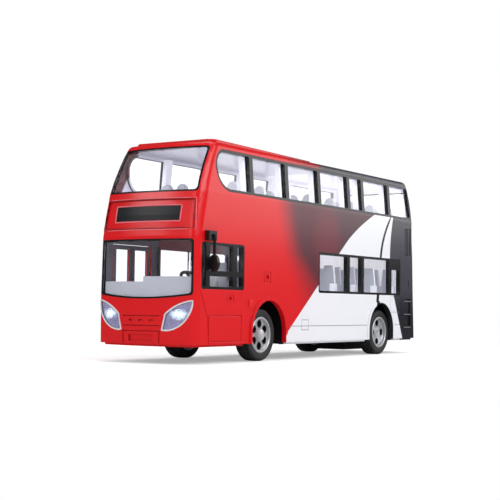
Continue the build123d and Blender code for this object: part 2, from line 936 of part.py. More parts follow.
with BuildPart() as wheel_wells:
    for well_back, well_front, notch_back, notch_front in wells:
        for side in (1, -1):
            inward = Align.MIN if side > 0 else Align.MAX
            with Locations(((well_back + well_front) / 2, side * (well_inner_y - well_wall), chassis_top)):
                Box(
                    well_front - well_back + 2 * well_wall,
                    inner_half_width - joint_gap - well_inner_y + well_wall,
                    well_top + well_wall - chassis_top,
                    align=(Align.CENTER, inward, Align.MIN),
                )
            with Locations(((well_back + well_front) / 2, side * well_inner_y, chassis_top)):
                Box(
                    well_front - well_back, reach, well_top - chassis_top,
                    align=(Align.CENTER, inward, Align.MIN), mode=Mode.SUBTRACT,
                )
        with Locations(((notch_back + notch_front) / 2, 0, chassis_top)):
            Box(
                notch_front - notch_back, reach, notch_top - chassis_top,
                align=(Align.CENTER, Align.CENTER, Align.MIN), mode=Mode.SUBTRACT,
            )
export(wheel_wells.part, "wheel_wells")

with BuildPart() as battery_cover:
    with Locations((battery_x, 0, chassis_bottom)):
        Box(
            battery_length - 2 * joint_gap, battery_width - 2 * joint_gap, battery_cover_thickness,
            align=(Align.CENTER, Align.CENTER, Align.MIN),
        )
export(battery_cover.part, "battery_cover")

with BuildPart() as gearbox:
    with Locations((gearbox_x, 0, gearbox_bottom)):
        Box(
            gearbox_length - 2 * joint_gap, gearbox_width - 2 * joint_gap, gearbox_top - gearbox_bottom,
            align=(Align.CENTER, Align.CENTER, Align.MIN),
        )
    with Locations((gearbox_x, 0, chassis_top)):
        Box(
            gearbox_length + 2 * gearbox_flange, gearbox_width, gearbox_flange,
            align=(Align.CENTER, Align.CENTER, Align.MIN),
        )
    with Locations(Location((rear_axle_x, 0, axle_height), (90, 0, 0))):
        Cylinder(stub_radius + running_clearance, reach, mode=Mode.SUBTRACT)
export(gearbox.part, "gearbox")

# The lower deck lies on the wheel wells, and the upper deck is held by the walls
with BuildPart() as lower_deck:
    add(slab(lower_deck_bottom, lower_deck_bottom + deck_thickness))
    with Locations((lower_deck_front, 0, lower_deck_bottom)):
        Box(
            body_length, 2 * body_length, reach,
            align=(Align.MIN, Align.CENTER, Align.CENTER), mode=Mode.SUBTRACT,
        )
export(lower_deck.part, "lower_deck")

with BuildPart() as upper_deck:
    add(slab(upper_deck_bottom, upper_deck_bottom + deck_thickness))
export(upper_deck.part, "upper_deck")


def seat_rows(places, floor, name):
    """Rows of double seats on both sides of the gangway, each with two tapered backs."""
    with BuildPart() as seats:
        for place in places:
            for side in (1, -1):
                with Locations((place, side * (gangway_half_width + seat_width), floor)):
                    Box(seat_depth, 2 * seat_width, seat_height, align=(Align.MIN, Align.CENTER, Align.MIN))
            with BuildSketch(Plane.YZ.offset(place)):
                for seat_y in seat_places:
                    with Locations((seat_y, floor)):
                        Polygon(
                            (-seat_back_foot / 2, 0),
                            (seat_back_foot / 2, 0),
                            (seat_back_head / 2, seat_back_top),
                            (-seat_back_head / 2, seat_back_top),
                            align=None,
                        )
            extrude(amount=seat_back)
    export(seats.part, name)


seat_places = [
    side * (gangway_half_width + (2 * place + 1) * seat_width / 2) for side in (1, -1) for place in (0, 1)
]
lower_rows = [seats_rear + row * seat_pitch for row in range(lower_row_count)]
upper_rows = [seats_rear + row * seat_pitch for row in range(upper_row_count)]
seat_rows(lower_rows, lower_deck_bottom + deck_thickness, "lower_seats")
seat_rows(upper_rows, upper_deck_bottom + deck_thickness, "upper_seats")

# Cab
with BuildPart() as dashboard:
    add(slab(dash_bottom, dash_ledge))
    with Locations((0, 0, dash_ledge)):
        Box(
            body_length, 2 * (body_half_width - frame_depth - clearance), dash_shelf - dash_ledge,
            align=(Align.CENTER, Align.CENTER, Align.MIN),
        )
        Box(
            body_length, body_half_width - frame_depth - clearance, dash_top - dash_ledge,
            align=(Align.CENTER, Align.MIN, Align.MIN),
        )
    add(cavity, mode=Mode.INTERSECT)
    with Locations((dash_rear, 0, 0)):
        Box(
            2 * body_length, 2 * body_length, 2 * body_length,
            align=(Align.MAX, Align.CENTER, Align.CENTER), mode=Mode.SUBTRACT,
        )
    # room for the open door leaf
    with Locations((dash_notch_rear, dash_notch_y, 0)):
        Box(
            2 * body_length, body_length, 2 * body_length,
            align=(Align.MAX, Align.MAX, Align.CENTER), mode=Mode.SUBTRACT,
        )
export(dashboard.part, "dashboard")

with BuildPart() as steering_wheel:
    with Locations(Location((wheel_rim_x, driver_y, wheel_rim_z), (0, -wheel_rim_tilt, 0))):
        Torus(wheel_rim_radius, wheel_rim_thickness)
        Cylinder(wheel_rim_thickness, column_length, align=(Align.CENTER, Align.CENTER, Align.MAX))
        Box(2 * wheel_rim_radius, wheel_rim_thickness, wheel_rim_thickness)
        Box(wheel_rim_thickness, 2 * wheel_rim_radius, wheel_rim_thickness)
    add(dashboard.part, mode=Mode.SUBTRACT)
export(steering_wheel.part, "steering_wheel")

with BuildPart() as driver_seat:
    with Locations((driver_seat_x, driver_y, chassis_top)):
        Box(seat_depth, driver_seat_width, driver_cushion, align=(Align.MIN, Align.CENTER, Align.MIN))
        Box(
            seat_back, driver_seat_width, driver_back_top - chassis_top,
            align=(Align.MIN, Align.CENTER, Align.MIN),
        )
export(driver_seat.part, "driver_seat")

# Mirrors on their arms
for side_name, side in (("left", 1), ("right", -1)):
    out = Align.MIN if side > 0 else Align.MAX
    head = Plane(origin=(mirror_x, side * mirror_y, mirror_head_z), x_dir=(0, 1, 0), z_dir=(1, 0, 0))
    with BuildPart() as mirror:
        with Locations((mirror_block_x, side * body_half_width, mirror_block_z)):
            Box(
                mirror_block_length, mirror_block_out, mirror_block_height,
                align=(Align.CENTER, out, Align.CENTER),
            )
        with Locations((mirror_x, side * mirror_y, mirror_block_z + mirror_arm)):
            Cylinder(
                mirror_arm, mirror_block_z - mirror_head_z, align=(Align.CENTER, Align.CENTER, Align.MAX)
            )
        with Locations((mirror_x, side * body_half_width, mirror_block_z)):
            Box(
                2 * mirror_arm, mirror_y - body_half_width + mirror_arm, 2 * mirror_arm,
                align=(Align.CENTER, out, Align.CENTER),
            )
        with BuildSketch(head):
            Ellipse(mirror_half_width, mirror_half_height)
        extrude(amount=mirror_depth / 2, both=True)
    export(mirror.part, "mirror_" + side_name)

# Front axle: a beam on the tray, a knuckle on each kingpin and a tie rod behind
with BuildPart() as front_axle_beam:
    with Locations((front_axle_x, 0, beam_bottom)):
        Box(
            2 * beam_half_width, 2 * kingpin_y, beam_top - beam_bottom,
            align=(Align.CENTER, Align.CENTER, Align.MIN),
        )
    with Locations((front_axle_x, 0, chassis_top)):
        Box(
            beam_seat_length, 2 * beam_seat_half_width, beam_bottom - chassis_top,
            align=(Align.CENTER, Align.CENTER, Align.MIN),
        )
    with Locations((front_axle_x, kingpin_y, beam_bottom), (front_axle_x, -kingpin_y, beam_bottom)):
        Cylinder(beam_half_width, beam_top - beam_bottom, align=(Align.CENTER, Align.CENTER, Align.MIN))
        Cylinder(
            kingpin_radius + running_clearance, beam_top - beam_bottom,
            align=(Align.CENTER, Align.CENTER, Align.MIN), mode=Mode.SUBTRACT,
        )
export(front_axle_beam.part, "front_axle_beam")

knuckle_top = beam_top + knuckle_gap + knuckle_plate
knuckle_bottom = beam_bottom - knuckle_gap - knuckle_plate
web_inner = beam_half_width + 2 * knuckle_gap
web_outer = web_inner + knuckle_plate
for side_name, side in (("left", 1), ("right", -1)):
    out = Align.MIN if side > 0 else Align.MAX
    with BuildPart() as knuckle:
        with Locations((front_axle_x, side * kingpin_y, knuckle_bottom)):
            Cylinder(
                kingpin_radius, knuckle_top - knuckle_bottom, align=(Align.CENTER, Align.CENTER, Align.MIN)
            )
        for plate_bottom in (knuckle_bottom, knuckle_top - knuckle_plate):
            with Locations((front_axle_x, side * kingpin_y, plate_bottom)):
                Cylinder(beam_half_width, knuckle_plate, align=(Align.CENTER, Align.CENTER, Align.MIN))
                Box(2 * beam_half_width, web_outer, knuckle_plate, align=(Align.CENTER, out, Align.MIN))
        with Locations((front_axle_x, side * (kingpin_y + web_inner), knuckle_bottom)):
            Box(
                2 * knuckle_half_width, knuckle_plate, knuckle_top - knuckle_bottom,
                align=(Align.CENTER, out, Align.MIN),
            )
        with Locations((front_axle_x, side * kingpin_y, knuckle_bottom)):
            Box(arm_length, 2 * arm_half_width, knuckle_plate, align=(Align.MAX, Align.CENTER, Align.MIN))
        with Locations((front_axle_x - arm_length, side * kingpin_y, knuckle_bottom)):
            Cylinder(arm_half_width, knuckle_plate, align=(Align.CENTER, Align.CENTER, Align.MIN))
            Cylinder(
                ball_pin_radius, knuckle_plate + ball_pin_length,
                align=(Align.CENTER, Align.CENTER, Align.MIN),
            )
        with Locations(
            Location((front_axle_x, side * (kingpin_y + web_inner), axle_height), (-90 * side, 0, 0))
        ):
            Cylinder(
                stub_radius, stub_end - kingpin_y - web_inner, align=(Align.CENTER, Align.CENTER, Align.MIN)
            )
        with Locations(Location((front_axle_x, side * stub_end, axle_height), (-90 * side, 0, 0))):
            Cylinder(stub_head_radius, stub_head, align=(Align.CENTER, Align.CENTER, Align.MIN))
    export(knuckle.part, "knuckle_" + side_name)

rod_bottom = knuckle_bottom + knuckle_plate + track_rod_gap
with BuildPart() as tie_rod:
    with Locations((front_axle_x - arm_length, 0, rod_bottom)):
        Box(
            2 * rod_half_width, 2 * kingpin_y, track_rod_height,
            align=(Align.CENTER, Align.CENTER, Align.MIN),
        )
    for side, pivot_clearance in ((1, running_clearance), (-1, open_pivot_clearance)):
        with Locations((front_axle_x - arm_length, side * kingpin_y, rod_bottom)):
            Cylinder(arm_half_width, track_rod_height, align=(Align.CENTER, Align.CENTER, Align.MIN))
            Cylinder(
                ball_pin_radius + pivot_clearance, track_rod_height,
                align=(Align.CENTER, Align.CENTER, Align.MIN), mode=Mode.SUBTRACT,
            )
export(tie_rod.part, "tie_rod")


def make_wheel(axle_x, side, disc_depth, hub_proud, hole_count, bore, name):
    """A tyre and the dished rim it sits on, with the outer face towards its own side."""
    centre = Plane(origin=(axle_x, 0, axle_height))
    spin = Axis((axle_x, 0, axle_height), (0, 1, 0))
    outer = wheel_outer_y
    inner = wheel_inner_y
    with BuildPart() as tyre:
        with BuildSketch(centre) as section:
            with BuildLine():
                Polyline(
                    (rim_radius + joint_gap, side * inner),
                    (tyre_radius, side * inner),
                    (tyre_radius, side * outer),
                    (rim_radius + joint_gap, side * outer),
                    close=True,
                )
            make_face()
            fillet(section.vertices().group_by(Axis.X)[-1], radius=tyre_shoulder)
        revolve(axis=spin)
    export(tyre.part, name.replace("wheel", "tyre"))
    disc_outer = outer - disc_depth
    disc_inner = disc_outer - disc_thickness
    with BuildPart() as rim:
        with BuildSketch(centre):
            with BuildLine():
                Polyline(
                    (bore, side * (disc_outer + hub_proud)),
                    (hub_radius, side * (disc_outer + hub_proud)),
                    (hub_radius, side * disc_outer),
                    (rim_radius - rim_wall - rim_slope, side * disc_outer),
                    (rim_radius - rim_wall, side * (outer - rim_inset)),
                    (rim_radius, side * (outer - rim_inset)),
                    (rim_radius, side * inner),
                    (rim_radius - rim_wall, side * inner),
                    (rim_radius - rim_wall - rim_slope, side * disc_inner),
                    (bore, side * disc_inner),
                    close=True,
                )
            make_face()
        revolve(axis=spin)
        face = Plane(origin=(axle_x, side * disc_outer, axle_height), z_dir=(0, side, 0))
        with BuildSketch(face):
            with PolarLocations(hole_circle, hole_count):
                Circle(hole_radius)
        extrude(amount=-disc_thickness, mode=Mode.SUBTRACT)
    export(rim.part, name.replace("wheel", "rim"))


for side_name, side in (("left", 1), ("right", -1)):
    front_bore = stub_radius + running_clearance
    rear_bore = stub_radius + joint_gap
    make_wheel(
        front_axle_x, side, front_disc_depth, front_hub_proud, front_hole_count, front_bore,
        "front_wheel_" + side_name,
    )
    make_wheel(
        rear_axle_x, side, rear_disc_depth, rear_hub_proud, rear_hole_count, rear_bore,
        "rear_wheel_" + side_name,
    )

with BuildPart() as rear_axle:
    with Locations(Location((rear_axle_x, 0, axle_height), (90, 0, 0))):
        Cylinder(stub_radius, 2 * rear_axle_end)
export(rear_axle.part, "rear_axle")
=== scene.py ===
import json
import math

import bmesh
import bpy
from mathutils import Matrix, Vector
from mathutils.bvhtree import BVHTree


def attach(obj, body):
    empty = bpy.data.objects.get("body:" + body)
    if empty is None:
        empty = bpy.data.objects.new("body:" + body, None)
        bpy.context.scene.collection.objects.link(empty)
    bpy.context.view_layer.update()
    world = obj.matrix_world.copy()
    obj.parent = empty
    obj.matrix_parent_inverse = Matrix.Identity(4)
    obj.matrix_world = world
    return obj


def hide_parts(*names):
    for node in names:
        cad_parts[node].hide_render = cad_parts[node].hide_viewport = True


# The looks of a toy double decker bus. Sizes are in millimetres, with x forward, y to its left and z up.
# MM turns them into the scene's metres. The floor, the lights and the camera are in metres.
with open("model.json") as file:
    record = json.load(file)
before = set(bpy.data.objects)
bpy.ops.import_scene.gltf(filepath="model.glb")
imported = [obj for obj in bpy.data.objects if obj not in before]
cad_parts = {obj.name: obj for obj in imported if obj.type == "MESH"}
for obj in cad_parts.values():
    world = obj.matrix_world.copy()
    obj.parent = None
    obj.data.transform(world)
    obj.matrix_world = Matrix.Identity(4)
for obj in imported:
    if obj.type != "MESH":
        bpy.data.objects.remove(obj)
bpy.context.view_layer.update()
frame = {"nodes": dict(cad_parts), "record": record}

MM = 0.001
SIDES = {"left": 1, "right": -1}

# Colours, as written on the shaders
RED = (0.72, 0.006, 0.010)
SMOKE = (0.104, 0.021, 0.033)
SMOKE_RED = (0.160, 0.026, 0.038)
SMOKE_GREY = (0.084, 0.028, 0.042)
WHITE = (0.86, 0.87, 0.92)
DARK = (0.052, 0.050, 0.066)
DEEP_DARK = (0.012, 0.012, 0.018)
UPPER_LINING = (0.84, 0.82, 0.92)
FRONT_LINING = (0.105, 0.002, 0.010)
CAB_LINING = (0.15, 0.14, 0.18)
SALOON_LINING = (0.30, 0.012, 0.020)
MIDDLE_LINING = (0.36, 0.33, 0.42)
REAR_LINING = (0.86, 0.85, 0.86)
LINER_WHITE = (0.90, 0.90, 0.95)
BLACK = (0.008, 0.008, 0.010)
MATT_BLACK = (0.014, 0.014, 0.016)
GREY_PLASTIC = (0.62, 0.63, 0.69)
DASH_GREY = (0.37, 0.38, 0.42)
SILVER = (0.60, 0.61, 0.66)
BRIGHT_SILVER = (0.82, 0.83, 0.86)
RUBBER = (0.020, 0.019, 0.020)
STEEL = (0.55, 0.55, 0.57)
GLASS_TINT = (0.95, 0.955, 0.98)
LENS_TINT = (0.95, 0.97, 1.0)
LAMP_WHITE = (0.72, 0.92, 1.0)
LAMP_SHADE = (0.24, 0.22, 0.36)
TAIL_LAMP_RED = (0.45, 0.008, 0.008)
SIDE_LAMP_RED = (0.80, 0.02, 0.02)
SIGN_BLACK = (0.008, 0.009, 0.014)
LED_GREEN = (0.020, 0.022, 0.012)
PLATE_WHITE = (0.72, 0.73, 0.74)
SEAL_BLACK = (0.006, 0.006, 0.007)
SEAM_GREY = (0.34, 0.34, 0.46)
STEP_GREY = (0.12, 0.12, 0.14)
# Painted shade and painted highlight, laid as beads along the creases and edges round the display
CREASE_SHADE = (0.20, 0.002, 0.004)
PAINTED_HIGHLIGHT_RED = (0.86, 0.16, 0.20)
FULL_WHITE = (1.0, 1.0, 1.0)

# Finish: scales and depths of mottling, ripple and flake, soft edges, and how softly paints meet
MOTTLE_SCALE = 0.045
RIPPLE_SCALE = 2.2
PAINT_RIPPLE_SCALE = 1.6
PAINT_RIPPLE = 0.012
FLAKE_SCALE = 9.0
FLAKE_DEPTH = 0.01
GLOSS_SPREAD = 0.08
PAINT_GLOSS = 0.20
PAINT_GLOSS_SPREAD = 0.06
SOFT_EDGE = 0.25
PAINT_SOFT_EDGE = 0.35
PAINT_MEETING = 0.25
FINE_MEETING = 0.2

# Where red turns to smoke: a leaning line that bends back and widens low down
FADE_X = 56.0
FADE_Z = 113.0
FADE_LEAN = 0.37
FADE_BEND_Z = 78.0
FADE_BEND = 0.58
FADE_SOFT = 18.0
FADE_SPREAD = 0.5
FADE_RIPPLE = 4.0
SMOKE_PATCH_X = -8.0
SMOKE_PATCH_Z = 92.0
SMOKE_PATCH_FLAT = 0.8
SMOKE_PATCH_REACH = (6.0, 30.0)
GREY_SMOKE_BEHIND = (30.0, 75.0)

# White sweep, from the skirt up and back to the upper windows
SWEEP_FOOT_X = 52.8
SWEEP_FOOT_Z = 17.9
SWEEP_LEAN = 1.27
SWEEP_BEND_Z = 88.0
SWEEP_BEND = 0.0215

# Dark tail behind the sweep, bowed above and below its middle
TAIL_X = -116.0
TAIL_MIDDLE_Z = 80.0
TAIL_UPPER_BEND = 0.0045
TAIL_LOWER_BEND = 0.0085
TAIL_BEND_END_Z = 52.0
TAIL_DARKENING = (30.0, 60.0)

# Thin stripe across the sweep
STRIPE_X = -99.0
STRIPE_Z = 81.0
STRIPE_LEAN = 0.14
STRIPE_BEND = 0.0115
STRIPE_WIDTH = 3.6
STRIPE_FOOT_WIDTH = 4.8
STRIPE_FOOT_BELOW = (10.0, 34.0)
STRIPE_TIP_Z = 114.6
STRIPE_TIP_REACH = (-10.0, 7.0)

# Rear wheel arch, black on its rear half
REAR_ARCH_X = -99.4
ARCH_Z = 20.6
BLACK_ARCH_RADIUS = 22.4
BLACK_ARCH_FRONT = -94.9
ARCH_MEETING = 0.3

# Cant rail and roof
CANT_Z = 126.0
CANT_MEETING = 0.4
ROOF_BROWN_START = 70.0
ROOF_BROWN_LENGTH = 62.0
ROOF_BROWN = 0.62
ROOF_DARK_START = 4.0
ROOF_DARK_SOFT = (-6.0, 10.0)

# Places in the body
WAIST_Z = 114.0
SIDE_LEAN = 0.083
MIDDLE_Z = 80.0
UPPER_DECK_Z = 94.0
LOWER_DECK_Z = 45.0
INNER_HALF_WIDTH = 38.7
FRAME_INNER_HALF_WIDTH = 36.7
TRAY_EDGE = 36.0
TRAY_END = 155.0
CAB_REAR_X = 103.0
SALOON_START = (10.0, 30.0)
REAR_LINING_X = -38.0
REAR_LINING_SOFT = 6.0
SCREEN_RETURN_X = 204.0
SCREEN_RETURN_LEAN = 0.5
# How strongly the linings glow as painted light, and how much more at the rear
LINING_PAINTED_GLOW = 0.10
REAR_PAINTED_GLOW = 4.0
SIGN_DOT_RATE = 7.85

# Lit headlamps: the bulb's place, how its light falls off, the bowl's facets, and how it cools and glows
BULB_Y = 28.5
BULB_Z = 32.5
BULB_FALL_ALONG = 0.085
BULB_FALL_UP = 0.16
FACET_SCALE = 0.45
FACET_SPREAD = 0.35
FACET_MIDDLE = 0.17
LAMP_COOLING = (0.05, 0.72)
LAMP_GLOW = 0.95
LAMP_DIMMING = 0.78


class Graph:
    """A node tree, with short ways to add and join nodes."""

    def __init__(self, node_tree):
        self.nodes = node_tree.nodes
        self.links = node_tree.links

    def node(self, kind, **settings):
        made = self.nodes.new(kind)
        for key, value in settings.items():
            setattr(made, key, value)
        return made

    def feed(self, socket, value):
        if isinstance(value, bpy.types.NodeSocket):
            self.links.new(value, socket)
        elif isinstance(value, tuple) and len(value) == 3 and socket.type == "RGBA":
            socket.default_value = (*value, 1.0)
        else:
            socket.default_value = value

    def math(self, operation, a, b=0.0, c=0.0, clamp=False):
        made = self.node("ShaderNodeMath", operation=operation, use_clamp=clamp)
        for socket, value in zip(made.inputs, (a, b, c)):
            self.feed(socket, value)
        return made.outputs[0]

    def plus(self, a, b):
        return self.math("ADD", a, b)

    def minus(self, a, b):
        return self.math("SUBTRACT", a, b)

    def times(self, a, b):
        return self.math("MULTIPLY", a, b)

    def line(self, value, slope, start):
        return self.math("MULTIPLY_ADD", value, slope, start)

    def squared(self, value):
        return self.times(value, value)

    def size(self, value):
        return self.math("ABSOLUTE", value)

    def above(self, value, level):
        """How far a value is over a level, and 0 under it."""
        return self.math("MAXIMUM", self.minus(value, level), 0.0)

    def below(self, value, level):
        """How far a value is under a level, and 0 over it."""
        return self.math("MAXIMUM", self.minus(level, value), 0.0)

    def length(self, a, b):
        return self.math("SQRT", self.plus(self.squared(a), self.squared(b)))

    def mix(self, factor, a, b):
        made = self.node("ShaderNodeMix", data_type="RGBA")
        self.feed(made.inputs["Factor"], factor)
        self.feed(made.inputs["A"], a)
        self.feed(made.inputs["B"], b)
        return made.outputs["Result"]

    def ramp(self, value, low, high):
        """0 below low, 1 above high, smooth between."""
        made = self.node("ShaderNodeMapRange", interpolation_type="SMOOTHSTEP")
        for key, number in (("Value", value), ("From Min", low), ("From Max", high)):
            self.feed(made.inputs[key], number)
        return made.outputs["Result"]

    def past(self, value, soft):
        """0 where a value is negative and 1 where it is positive, soft by so much each way."""
        return self.ramp(value, -soft, soft)


class Finish(Graph):
    """A material's nodes."""

    def __init__(self, name):
        self.material = bpy.data.materials.new(name)
        self.material.use_nodes = True
        super().__init__(self.material.node_tree)
        self.shader = self.nodes["Principled BSDF"]
        self.output = self.nodes["Material Output"]

    def set(self, **values):
        """Sets or feeds the shader's sockets: Base_Color stands for its socket Base Color."""
        for key, value in values.items():
            self.feed(self.shader.inputs[key.replace("_", " ")], value)

    def place(self):
        """The surface point as a vector and as x, y and z, in millimetres of the bus at rest."""
        scaled = self.node("ShaderNodeVectorMath", operation="SCALE")
        self.links.new(self.node("ShaderNodeTexCoord").outputs["Object"], scaled.inputs[0])
        scaled.inputs["Scale"].default_value = 1 / MM
        split = self.node("ShaderNodeSeparateXYZ")
        self.links.new(scaled.outputs[0], split.inputs[0])
        return scaled.outputs[0], split.outputs["X"], split.outputs["Y"], split.outputs["Z"]

    def noise(self, vector, scale, detail):
        made = self.node("ShaderNodeTexNoise")
        self.links.new(vector, made.inputs["Vector"])
        made.inputs["Scale"].default_value = scale
        made.inputs["Detail"].default_value = detail
        made.inputs["Roughness"].default_value = 0.55
        return made.outputs["Fac"]

    def surface(self, height, distance, radius):
        """Bump from a height, over edges softened by a radius, both in millimetres."""
        bump = self.node("ShaderNodeBump")
        bump.inputs["Strength"].default_value = 1.0
        bump.inputs["Distance"].default_value = distance * MM
        self.feed(bump.inputs["Height"], height)
        bevel = self.node("ShaderNodeBevel", samples=4)
        bevel.inputs["Radius"].default_value = radius * MM
        self.links.new(bevel.outputs["Normal"], bump.inputs["Normal"])
        self.set(Normal=bump.outputs["Normal"])


def plastic(name, colour, gloss, mottle=0.06, grain=0.02, coat=0.0, painted_glow=0.0, lining_width=0.0):
    """Moulded plastic: slight mottling in colour and gloss, a fine surface ripple and soft edges. A glow
    given here makes the part shine as painted light.
    """
    tree = Finish(name)
    where, _, _, _ = tree.place()
    clouds = tree.noise(where, MOTTLE_SCALE, 3.0)
    fine = tree.noise(where, RIPPLE_SCALE, 2.0)
    darker = tuple(channel * (1 - mottle) for channel in colour)
    lighter = tuple(min(1.0, channel * (1 + mottle)) for channel in colour)
    mottled = tree.mix(clouds, darker, lighter)
    if lining_width:
        mottled = lined(tree, mottled, lining_width)
    tree.set(Base_Color=mottled, Roughness=tree.line(fine, GLOSS_SPREAD, gloss - GLOSS_SPREAD / 2))
    tree.set(Coat_Weight=coat, Coat_Roughness=0.06)
    if painted_glow:
        tree.set(Emission_Color=colour, Emission_Strength=painted_glow)
    tree.surface(fine, grain, SOFT_EDGE)
    return tree.material


def facing_inward(tree, where):
    """1 where a face looks towards the middle of the bus."""
    turn = tree.node(
        "ShaderNodeVectorTransform", vector_type="NORMAL", convert_from="WORLD", convert_to="OBJECT"
    )
    tree.links.new(tree.node("ShaderNodeNewGeometry").outputs["True Normal"], turn.inputs[0])
    outward = tree.node("ShaderNodeVectorMath", operation="SUBTRACT")
    tree.links.new(where, outward.inputs[0])
    outward.inputs[1].default_value = (0.0, 0.0, MIDDLE_Z)
    facing = tree.node("ShaderNodeVectorMath", operation="DOT_PRODUCT")
    tree.links.new(turn.outputs[0], facing.inputs[0])
    tree.links.new(outward.outputs[0], facing.inputs[1])
    return tree.math("LESS_THAN", facing.outputs["Value"], 0.0)


def lined(tree, colour, half_width):
    """The given colour outside, and linings inside: light upstairs and at the rear, grey in the cab.
    Upstairs and at the rear the linings also glow a little, as painted light.
    """
    where, x, y, z = tree.place()
    width = tree.plus(tree.size(y), tree.times(tree.above(z, WAIST_Z), SIDE_LEAN))
    inside = tree.times(facing_inward(tree, where), tree.math("LESS_THAN", width, half_width))
    lining = tree.mix(tree.ramp(x, *SALOON_START), MIDDLE_LINING, SALOON_LINING)
    at_rear = tree.past(tree.minus(REAR_LINING_X, x), REAR_LINING_SOFT)
    lining = tree.mix(at_rear, lining, REAR_LINING)
    lining = tree.mix(tree.ramp(x, CAB_REAR_X - 1.0, CAB_REAR_X), lining, CAB_LINING)
    upstairs = tree.ramp(z, UPPER_DECK_Z - 1.0, UPPER_DECK_Z)
    at_screen = tree.past(tree.plus(tree.line(z, SCREEN_RETURN_LEAN, -SCREEN_RETURN_X), x), 1.0)
    lining = tree.mix(upstairs, lining, tree.mix(at_screen, UPPER_LINING, FRONT_LINING))
    lining = tree.mix(tree.math("LESS_THAN", z, LOWER_DECK_Z), lining, MATT_BLACK)
    # Painted light: the linings glow upstairs, and more strongly at the rear
    painted_glow = tree.math("MAXIMUM", upstairs, tree.times(at_rear, REAR_PAINTED_GLOW))
    tree.set(Emission_Color=lining, Emission_Strength=tree.times(tree.times(inside, painted_glow), LINING_PAINTED_GLOW))
    return tree.mix(inside, colour, lining)


def smoky_red(tree, where, x, z):
    """Red in front, smoke behind a leaning line, greyer far behind it, with a redder patch."""
    clouds = tree.line(tree.noise(where, 0.02, 2.0), 2 * FADE_RIPPLE, -FADE_RIPPLE)
    under_bend = tree.below(z, FADE_BEND_Z)
    fade_line = tree.line(z, FADE_LEAN, FADE_X - FADE_LEAN * FADE_Z)
    fade_line = tree.plus(tree.minus(fade_line, tree.times(under_bend, FADE_BEND)), clouds)
    behind = tree.minus(fade_line, x)
    faded = tree.math("DIVIDE", behind, tree.line(under_bend, FADE_SPREAD, FADE_SOFT))
    beside_patch = tree.minus(x, SMOKE_PATCH_X)
    over_patch = tree.times(tree.minus(z, SMOKE_PATCH_Z), SMOKE_PATCH_FLAT)
    off_patch = tree.ramp(tree.length(beside_patch, over_patch), *SMOKE_PATCH_REACH)
    smoke = tree.mix(tree.ramp(behind, *GREY_SMOKE_BEHIND), SMOKE, SMOKE_GREY)
    smoke = tree.mix(tree.minus(1.0, off_patch), smoke, SMOKE_RED)
    return tree.mix(tree.past(faded, 1.0), RED, smoke)


def white_sweep(tree, colour, x, z):
    """White behind a leaning edge that bends back high up."""
    edge = tree.line(tree.above(z, SWEEP_FOOT_Z), -SWEEP_LEAN, SWEEP_FOOT_X)
    edge = tree.minus(edge, tree.times(tree.squared(tree.above(z, SWEEP_BEND_Z)), SWEEP_BEND))
    return tree.mix(tree.past(tree.minus(edge, x), PAINT_MEETING), colour, WHITE)


def dark_tail(tree, colour, x, z):
    """Dark paint behind a bowed edge, near black towards the skirt."""
    bow_depth = TAIL_MIDDLE_Z - TAIL_BEND_END_Z
    under_middle = tree.math("MINIMUM", tree.below(z, TAIL_MIDDLE_Z), bow_depth)
    bow = tree.plus(
        tree.times(tree.squared(tree.above(z, TAIL_MIDDLE_Z)), TAIL_UPPER_BEND),
        tree.times(tree.squared(under_middle), TAIL_LOWER_BEND),
    )
    bow = tree.plus(bow, tree.times(tree.below(z, TAIL_BEND_END_Z), 2 * TAIL_LOWER_BEND * bow_depth))
    behind = tree.minus(tree.minus(TAIL_X, bow), x)
    dark = tree.mix(tree.ramp(z, *TAIL_DARKENING), DEEP_DARK, DARK)
    return tree.mix(tree.past(behind, PAINT_MEETING), colour, dark)


def thin_stripe(tree, colour, x, z):
    """A dark stripe, drawn to a point at the waist and wider at its foot."""
    middle = tree.line(tree.minus(z, STRIPE_Z), -STRIPE_LEAN, STRIPE_X)
    middle = tree.minus(middle, tree.times(tree.squared(tree.above(z, STRIPE_Z)), STRIPE_BEND))
    taper = tree.ramp(tree.minus(STRIPE_TIP_Z, z), *STRIPE_TIP_REACH)
    foot = tree.ramp(tree.minus(STRIPE_Z, z), *STRIPE_FOOT_BELOW)
    half_width = tree.line(foot, (STRIPE_FOOT_WIDTH - STRIPE_WIDTH) / 2, STRIPE_WIDTH / 2)
    inside = tree.minus(tree.times(taper, half_width), tree.size(tree.minus(x, middle)))
    on_stripe = tree.times(tree.past(inside, FINE_MEETING), tree.ramp(z, ARCH_Z, ARCH_Z + 0.5))
    return tree.mix(on_stripe, colour, DEEP_DARK)


def black_arch(tree, colour, x, z):
    """The rear arch, black on its rear half."""
    reach = tree.length(tree.minus(x, REAR_ARCH_X), tree.above(z, ARCH_Z))
    on_arch = tree.past(tree.minus(BLACK_ARCH_RADIUS, reach), FINE_MEETING)
    on_arch = tree.times(on_arch, tree.past(tree.minus(BLACK_ARCH_FRONT, x), ARCH_MEETING))
    return tree.mix(on_arch, colour, BLACK)


def roof_paint(tree, colour, x, z):
    """Cant rail and roof: red in front, browner and then dark behind, with no white."""
    brown = tree.ramp(tree.minus(ROOF_BROWN_START, x), 0.0, ROOF_BROWN_LENGTH)
    roof = tree.mix(tree.times(brown, ROOF_BROWN), RED, SMOKE)
    roof = tree.mix(tree.ramp(tree.minus(ROOF_DARK_START, x), *ROOF_DARK_SOFT), roof, DARK)
    return tree.mix(tree.ramp(z, CANT_Z, CANT_Z + CANT_MEETING), colour, roof)


def on_tray_edge(tree, x, y):
    """1 on the upright faces round the edge of the tray."""
    normal = tree.node("ShaderNodeSeparateXYZ")
    tree.links.new(tree.node("ShaderNodeNewGeometry").outputs["True Normal"], normal.inputs[0])
    at_side = tree.math("GREATER_THAN", tree.size(y), TRAY_EDGE)
    at_end = tree.math("GREATER_THAN", tree.size(x), TRAY_END)
    upright = tree.math("LESS_THAN", tree.size(normal.outputs["Z"]), 0.5)
    return tree.times(upright, tree.math("MAXIMUM", at_side, at_end))


